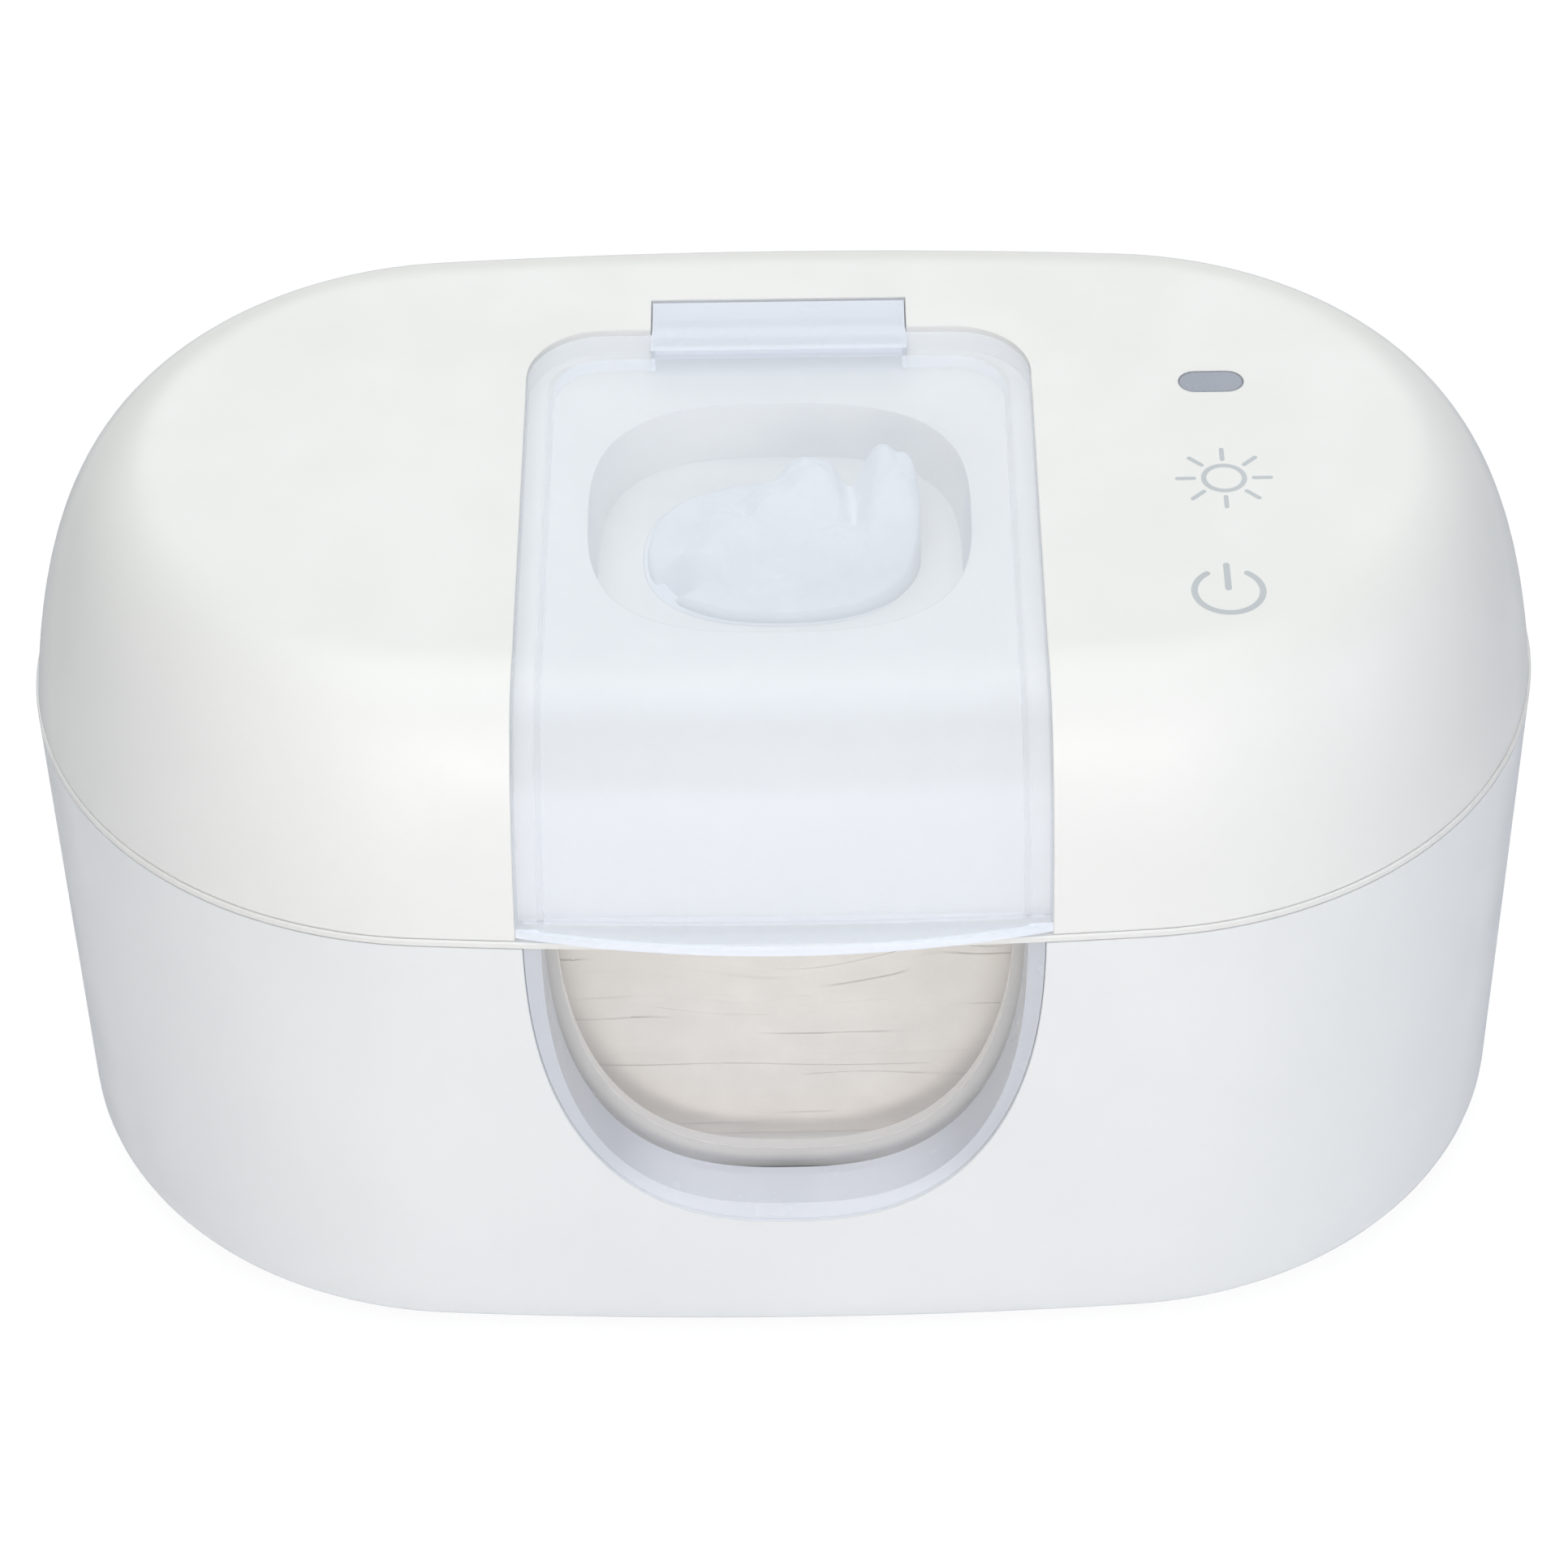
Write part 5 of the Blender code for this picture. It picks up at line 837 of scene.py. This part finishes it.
def flat_shape(name, loops, paint):
    """A printed mark: filled outlines that stand a hair above the cover's flat top."""
    ink = 0.00002
    work = bmesh.new()
    for loop in loops:
        low, high = ([work.verts.new((x, y + MIDDLE_Y, TOP + z)) for x, y in loop] for z in (ink, 2 * ink))
        work.faces.new(list(reversed(low)))
        work.faces.new(high)
        for i in range(len(low)):
            j = (i + 1) % len(low)
            work.faces.new((low[i], low[j], high[j], high[i]))
    mesh = bpy.data.meshes.new(name)
    work.to_mesh(mesh)
    work.free()
    dress(new_object(name, mesh), "cover", paint["ink"])


def polar(centre, radius, angle):
    return centre[0] + radius * math.cos(angle), centre[1] + radius * math.sin(angle)


def stroke(start, end, width):
    """A bar with round ends."""
    half, quarter = width / 2, math.pi / 2
    angle = math.atan2(end[1] - start[1], end[0] - start[0])
    tip = arc(end, half, angle - quarter, angle + quarter, 8)
    return tip + arc(start, half, angle + quarter, angle + 3 * quarter, 8)


def ring_piece(centre, radius, width, start, end, steps=48, capped=True):
    """Part of a ring, with round ends where it is capped."""
    half = width / 2
    outer = arc(centre, radius + half, start, end, steps)
    inner = arc(centre, radius - half, end, start, steps)
    if not capped:
        return outer + inner
    cap = arc(polar(centre, radius, end), half, end, end + math.pi, 6)[1:-1]
    back = arc(polar(centre, radius, start), half, start + math.pi, start + 2 * math.pi, 6)[1:-1]
    return outer + cap + inner + back


def make_icons(paint):
    """A sun for the light and the usual sign for power."""
    ray_from, ray_to, ray_width, hairline = 0.0046, 0.0071, 0.00072, 0.0005
    halves = [(k * math.pi, (k + 1) * math.pi - hairline) for k in (0, 1)]
    sun = [ring_piece(SUN_MARK, 0.0031, 0.00080, start, end, capped=False) for start, end in halves]
    for k in range(8):
        angle = k * math.pi / 4
        sun.append(stroke(polar(SUN_MARK, ray_from, angle), polar(SUN_MARK, ray_to, angle), ray_width))
    flat_shape("light_mark", sun, paint)
    x, y = POWER_MARK
    gap, width = math.radians(36), 0.00098
    ring = ring_piece(POWER_MARK, 0.0051, width, math.pi / 2 + gap, 2.5 * math.pi - gap)
    flat_shape("power_mark", [ring, stroke((x, y + 0.0006), (x, y + 0.0061), width)], paint)


# Flip lid


def make_lid(paint):
    """A thin skin on the dome with a rib inside its edge, a bowed lip in front and a barrel on the pin."""
    bottom = RIM + 2 * FIT
    lid = prism("lid_shell", lid_outline(0.00057, 0.0005), "Z", bottom, TOP + WALL)
    keep(lid, oval_solid("dome", cover_profile(0, RIM + FIT)))
    under = oval_solid("under", cover_profile(LID_SKIN, RIM - WALL))
    rib_side, rib_width = -0.0026, 0.001
    rib = prism("rib", lid_outline(rib_side, rib_side), "Z", bottom, TOP + WALL)
    inner = lid_outline(rib_side - rib_width, rib_side - rib_width)
    cut(rib, prism("rib_inside", inner, "Z", RIM - WALL, TOP + 2 * WALL))
    keep(rib, oval_solid("rib_dome", cover_profile(LID_SKIN / 2, RIM - WALL)))
    cut(rib, oval_solid("rib_limit", cover_profile(LID_RIB, RIM - WALL)))
    cut(rib, box("rib_gap", (-LEAF_HALF, LID_BACK - 0.006, RIM), (LEAF_HALF, LID_BACK, TOP + WALL)))
    half_rib, rib_front, rib_top = rib_width / 2, LID_BACK - 0.0036, TOP - LID_SKIN / 2
    for x in (-LEAF_HALF, LEAF_HALF):
        join(rib, box("rib_end", (x - half_rib, rib_front, TOP - LID_RIB), (x + half_rib, LID_BACK, rib_top)))
    lip, lip_steps = [], 60
    for i in range(lip_steps + 1):
        x = LIP_HALF * (2 * i / lip_steps - 1)
        lip.append((x, COVER_STEP - side_reach(x) - LIP_BOW * (1 - (x / LIP_HALF) ** 2)))
    corner_x, lip_back = LIP_HALF - 0.0008, COVER_STEP - DEPTH / 2 + 0.0039
    lip += [(corner_x, lip_back), (-corner_x, lip_back)]
    lip = prism("lip", lip, "Z", bottom, bottom + LIP_HEIGHT)
    barrel = prism("barrel", circle(LID_BARREL, LID_AXIS, 48), "X", -0.0193, 0.0193)
    leaf_low, leaf_high = TOP - 0.0030, TOP - 0.00003
    arm = box("arm", (-LEAF_HALF, LID_BACK - 0.0006, leaf_low), (LEAF_HALF, LID_AXIS[0] + 0.0039, leaf_high))
    boolean(lid, ("DIFFERENCE", under), ("UNION", rib), ("UNION", lip), ("UNION", barrel), ("UNION", arm))
    cut(lid, prism("bore", circle(LID_BORE, LID_AXIS, 20), "X", -0.06, 0.06))
    dress(lid, "lid", paint["clear_plastic"], ("flip_lid",))


# Wipes


def spaced(outline, gap):
    """The same closed outline with a point about every gap."""
    points = []
    for a, b in zip(outline, outline[1:] + outline[:1]):
        count = max(1, round(math.dist(a, b) / gap))
        points += [(a[0] + (b[0] - a[0]) * k / count, a[1] + (b[1] - a[1]) * k / count) for k in range(count)]
    return points


def ripple(x, y, scale, seed):
    return noise.noise(Vector((x * scale, y * scale, seed)))


def make_stack(paint):
    """Folded wipes: each layer bulges between its creases, and the top ones sag where one was drawn up."""
    low, high = 0.02940, 0.0772
    layers, rows = 19, 6
    length, depth = 0.150, 0.100
    outline = spaced(rounded_rectangle(length, depth, 0.014, (0, 0), 12), 0.0012)
    rings = []
    for i in range(layers * rows + 1):
        layer, within = divmod(i, rows)
        uneven = 0.28 * math.sin(5.1 * layer) * (1 - 2 * abs(within / rows - 0.5))
        share = (layer + within / rows + uneven) / layers
        bulge = math.sin(math.pi * within / rows) ** 0.35 if within else 0.0
        ring = []
        for x, y in outline:
            sag = 0.0085 * math.exp(-((x / 0.017) ** 2)) - 0.0026 * math.exp(-(((abs(x) - 0.0235) / 0.005) ** 2))
            sag *= 1.6 * max(0.0, share - 0.35) ** 1.4
            lift = (0.0013 * ripple(x, y, 42, layer * 1.7) - sag) * min(1.0, 4 * (1 - share) + 0.55)
            drift = 0.0008 * ripple(x, y, 25, layer * 3.1 + 9)
            crease = 0.00008 + 0.00006 * ripple(x, y, 30, layer * 2.3)
            pull = 1 - (0.0016 + abs(drift) * 0.5 + crease * (1 - bulge)) / (depth / 2)
            ring.append((x * pull, y * pull, low + (high - low) * share + lift * min(1, 8 * share)))
        rings.append(ring)
    for inset in (0.94, 0.86, 0.70, 0.5, 0.25):
        ring = []
        for x, y in outline:
            x, y = x * inset, y * inset
            dip = 0.006 * math.exp(-((x / 0.028) ** 2 + (y / 0.03) ** 2))
            ring.append((x, y, high + 0.0012 - dip + 0.0008 * ripple(x, y, 40, 3)))
        rings.append(ring)
    stack = dress(loft("wipe_pile", rings), "base", paint["stack_cloth"], ("wipe_stack",), 0)


def lobe(x, y, centre, size, power=2.0):
    """A round hump, 1 at its centre and squarer with a higher power."""
    u, v = (x - centre[0]) / size[0], (y - centre[1]) / size[1]
    return math.exp(-((abs(u) ** power + abs(v) ** power)))


def tuft_height(x, y):
    """Height above the funnel's floor, in millimetres, over the mouth; x and y in millimetres too."""
    slab = 10.6 * lobe(x, y, (17.2, 5.0), (5.8, 11.5), 4) + 0.9 * lobe(x, y, (15.2, 9.0), (1.7, 4.0))
    slab += 0.6 * lobe(x, y, (19.8, 8.0), (1.4, 4.0)) - 0.5 * lobe(x, y, (17.6, 9.0), (0.8, 4.0))
    middle = 10.0 * lobe(x, y, (4.6, 6.0), (7.2, 8.5), 3)
    shoulder = 8.2 * lobe(x, y, (-0.5, 3.5), (7.0, 8.0), 2.4)
    flank = 6.0 * lobe(x, y, (-8.0, 1.0), (8.0, 9.0))
    front = 6.4 * lobe(x, y, (10.0, -4.0), (10.0, 8.0))
    curl = 4.6 * lobe(x, y, (-13.0, -5.0), (4.0, 2.6))
    wedge = 5.2 * lobe(x, y, (-16.6, -8.2), (2.6, 2.0)) + 2.0 * lobe(x, y, (9.9, 8.0), (1.3, 6.0))
    total = sum(math.exp(1.5 * part) for part in (slab, middle, shoulder, flank, front, curl, 1.0))
    return math.log(total) / 1.5 - 0.6 - wedge


def make_tuft(paint):
    """The end of a wipe drawn up through the mouth: a standing fold at one side and lower lobes beside it.

    A neck under the mouth comes first, then rings that close from the mouth's edge to the middle.
    """
    low, around, millimetre = FUNNEL_FLOOR + FIT, 180, 0.001
    rings = []
    for drop, width, depth in ((0.008, 0.016, 0.009), (0.0045, 0.024, 0.017), (0.0016, 0.034, 0.026)):
        neck = superellipse(width, depth, 2.2, (0, MOUTH_Y), around)
        rings.append([(x, y, low - drop) for x, y in neck])
    steps, lean_x, lean_y = 56, 0.05, 0.34
    deepest, tallest, edge_top = -2.8, 11.6, -0.3
    for i in range(steps):
        share = 1 - i / steps
        ring = []
        for x, y in superellipse(0.0420 * share, 0.0326 * share, 2.3, (0.0006 * share, MOUTH_Y), around):
            u, v = x / millimetre, (y - MOUTH_Y) / millimetre
            spot = Vector((u * 0.16, v * 0.16, 1.3))
            crease = 1.1 * (0.5 - abs(noise.noise(spot))) + 0.35 * noise.noise(spot * 3.1)
            high = tuft_height(u, v) + crease * min(1.0, 0.3 + 4 * (1 - share))
            if i == 0:
                high = min(high - 1.3, edge_top)
            high = max(deepest, min(tallest, high)) * millimetre
            ring.append((x + lean_x * high, y + lean_y * high, low + high))
        rings.append(ring)
    tuft = dress(loft("drawn_wipe", rings), "cover", paint["wipe_cloth"], ("wipe_tuft",), 0)


# The carried solids


def smooth_group():
    """Merges a faceted solid's loose corners and shades it smooth but for its sharp edges."""
    group = bpy.data.node_groups.new("smooth_faces", "GeometryNodeTree")
    group.interface.new_socket("Geometry", in_out="INPUT", socket_type="NodeSocketGeometry")
    group.interface.new_socket("Geometry", in_out="OUTPUT", socket_type="NodeSocketGeometry")
    nodes, links = group.nodes, group.links
    start, end = nodes.new("NodeGroupInput"), nodes.new("NodeGroupOutput")
    merge = nodes.new("GeometryNodeMergeByDistance")
    merge.inputs["Distance"].default_value = 0.000005
    angle = nodes.new("GeometryNodeInputMeshEdgeAngle")
    small = nodes.new("FunctionNodeCompare")
    small.operation = "LESS_THAN"
    small.inputs[1].default_value = math.radians(34)
    faces, edges = nodes.new("GeometryNodeSetShadeSmooth"), nodes.new("GeometryNodeSetShadeSmooth")
    edges.domain = "EDGE"
    links.new(start.outputs[0], merge.inputs["Geometry"])
    links.new(merge.outputs[0], faces.inputs["Geometry"])
    links.new(faces.outputs[0], edges.inputs["Geometry"])
    links.new(angle.outputs["Unsigned Angle"], small.inputs[0])
    links.new(small.outputs[0], edges.inputs["Shade Smooth"])
    links.new(edges.outputs[0], end.inputs[0])
    return group


def dress_nodes(paint):
    """Gives each solid that still shows its looks; its vertices stay where they are."""
    group = smooth_group()
    for name, node in NODES.items():
        if node.hide_render:
            continue
        slots = [m.name.split(".")[0] for m in node.data.materials if m]
        material = paint.get(slots[0] if slots else "", paint["casing_plastic"])
        if name == "window_gasket":
            material = paint["gasket_clear"]
        node.data.materials.clear()
        node.data.materials.append(material)
        if "custom_normal" in node.data.attributes:
            node.data.attributes.remove(node.data.attributes["custom_normal"])
        node.modifiers.new("smooth_faces", "NODES").node_group = group


def main():
    scene = bpy.context.scene
    scene.view_settings.view_transform = "Standard"
    make_camera()
    make_world()
    make_floor()
    for name, (place, size, power, colour) in LAMPS.items():
        add_lamp(name, place, size, power, colour)
    paint = make_materials()
    make_base(paint)
    band_middle, pane_back = make_window(paint)
    make_catch(paint, band_middle, pane_back)
    make_tank(paint)
    make_seal(paint)
    make_cover(paint)
    make_mouth(paint)
    make_icons(paint)
    make_lid(paint)
    make_stack(paint)
    make_tuft(paint)
    dress_nodes(paint)


main()
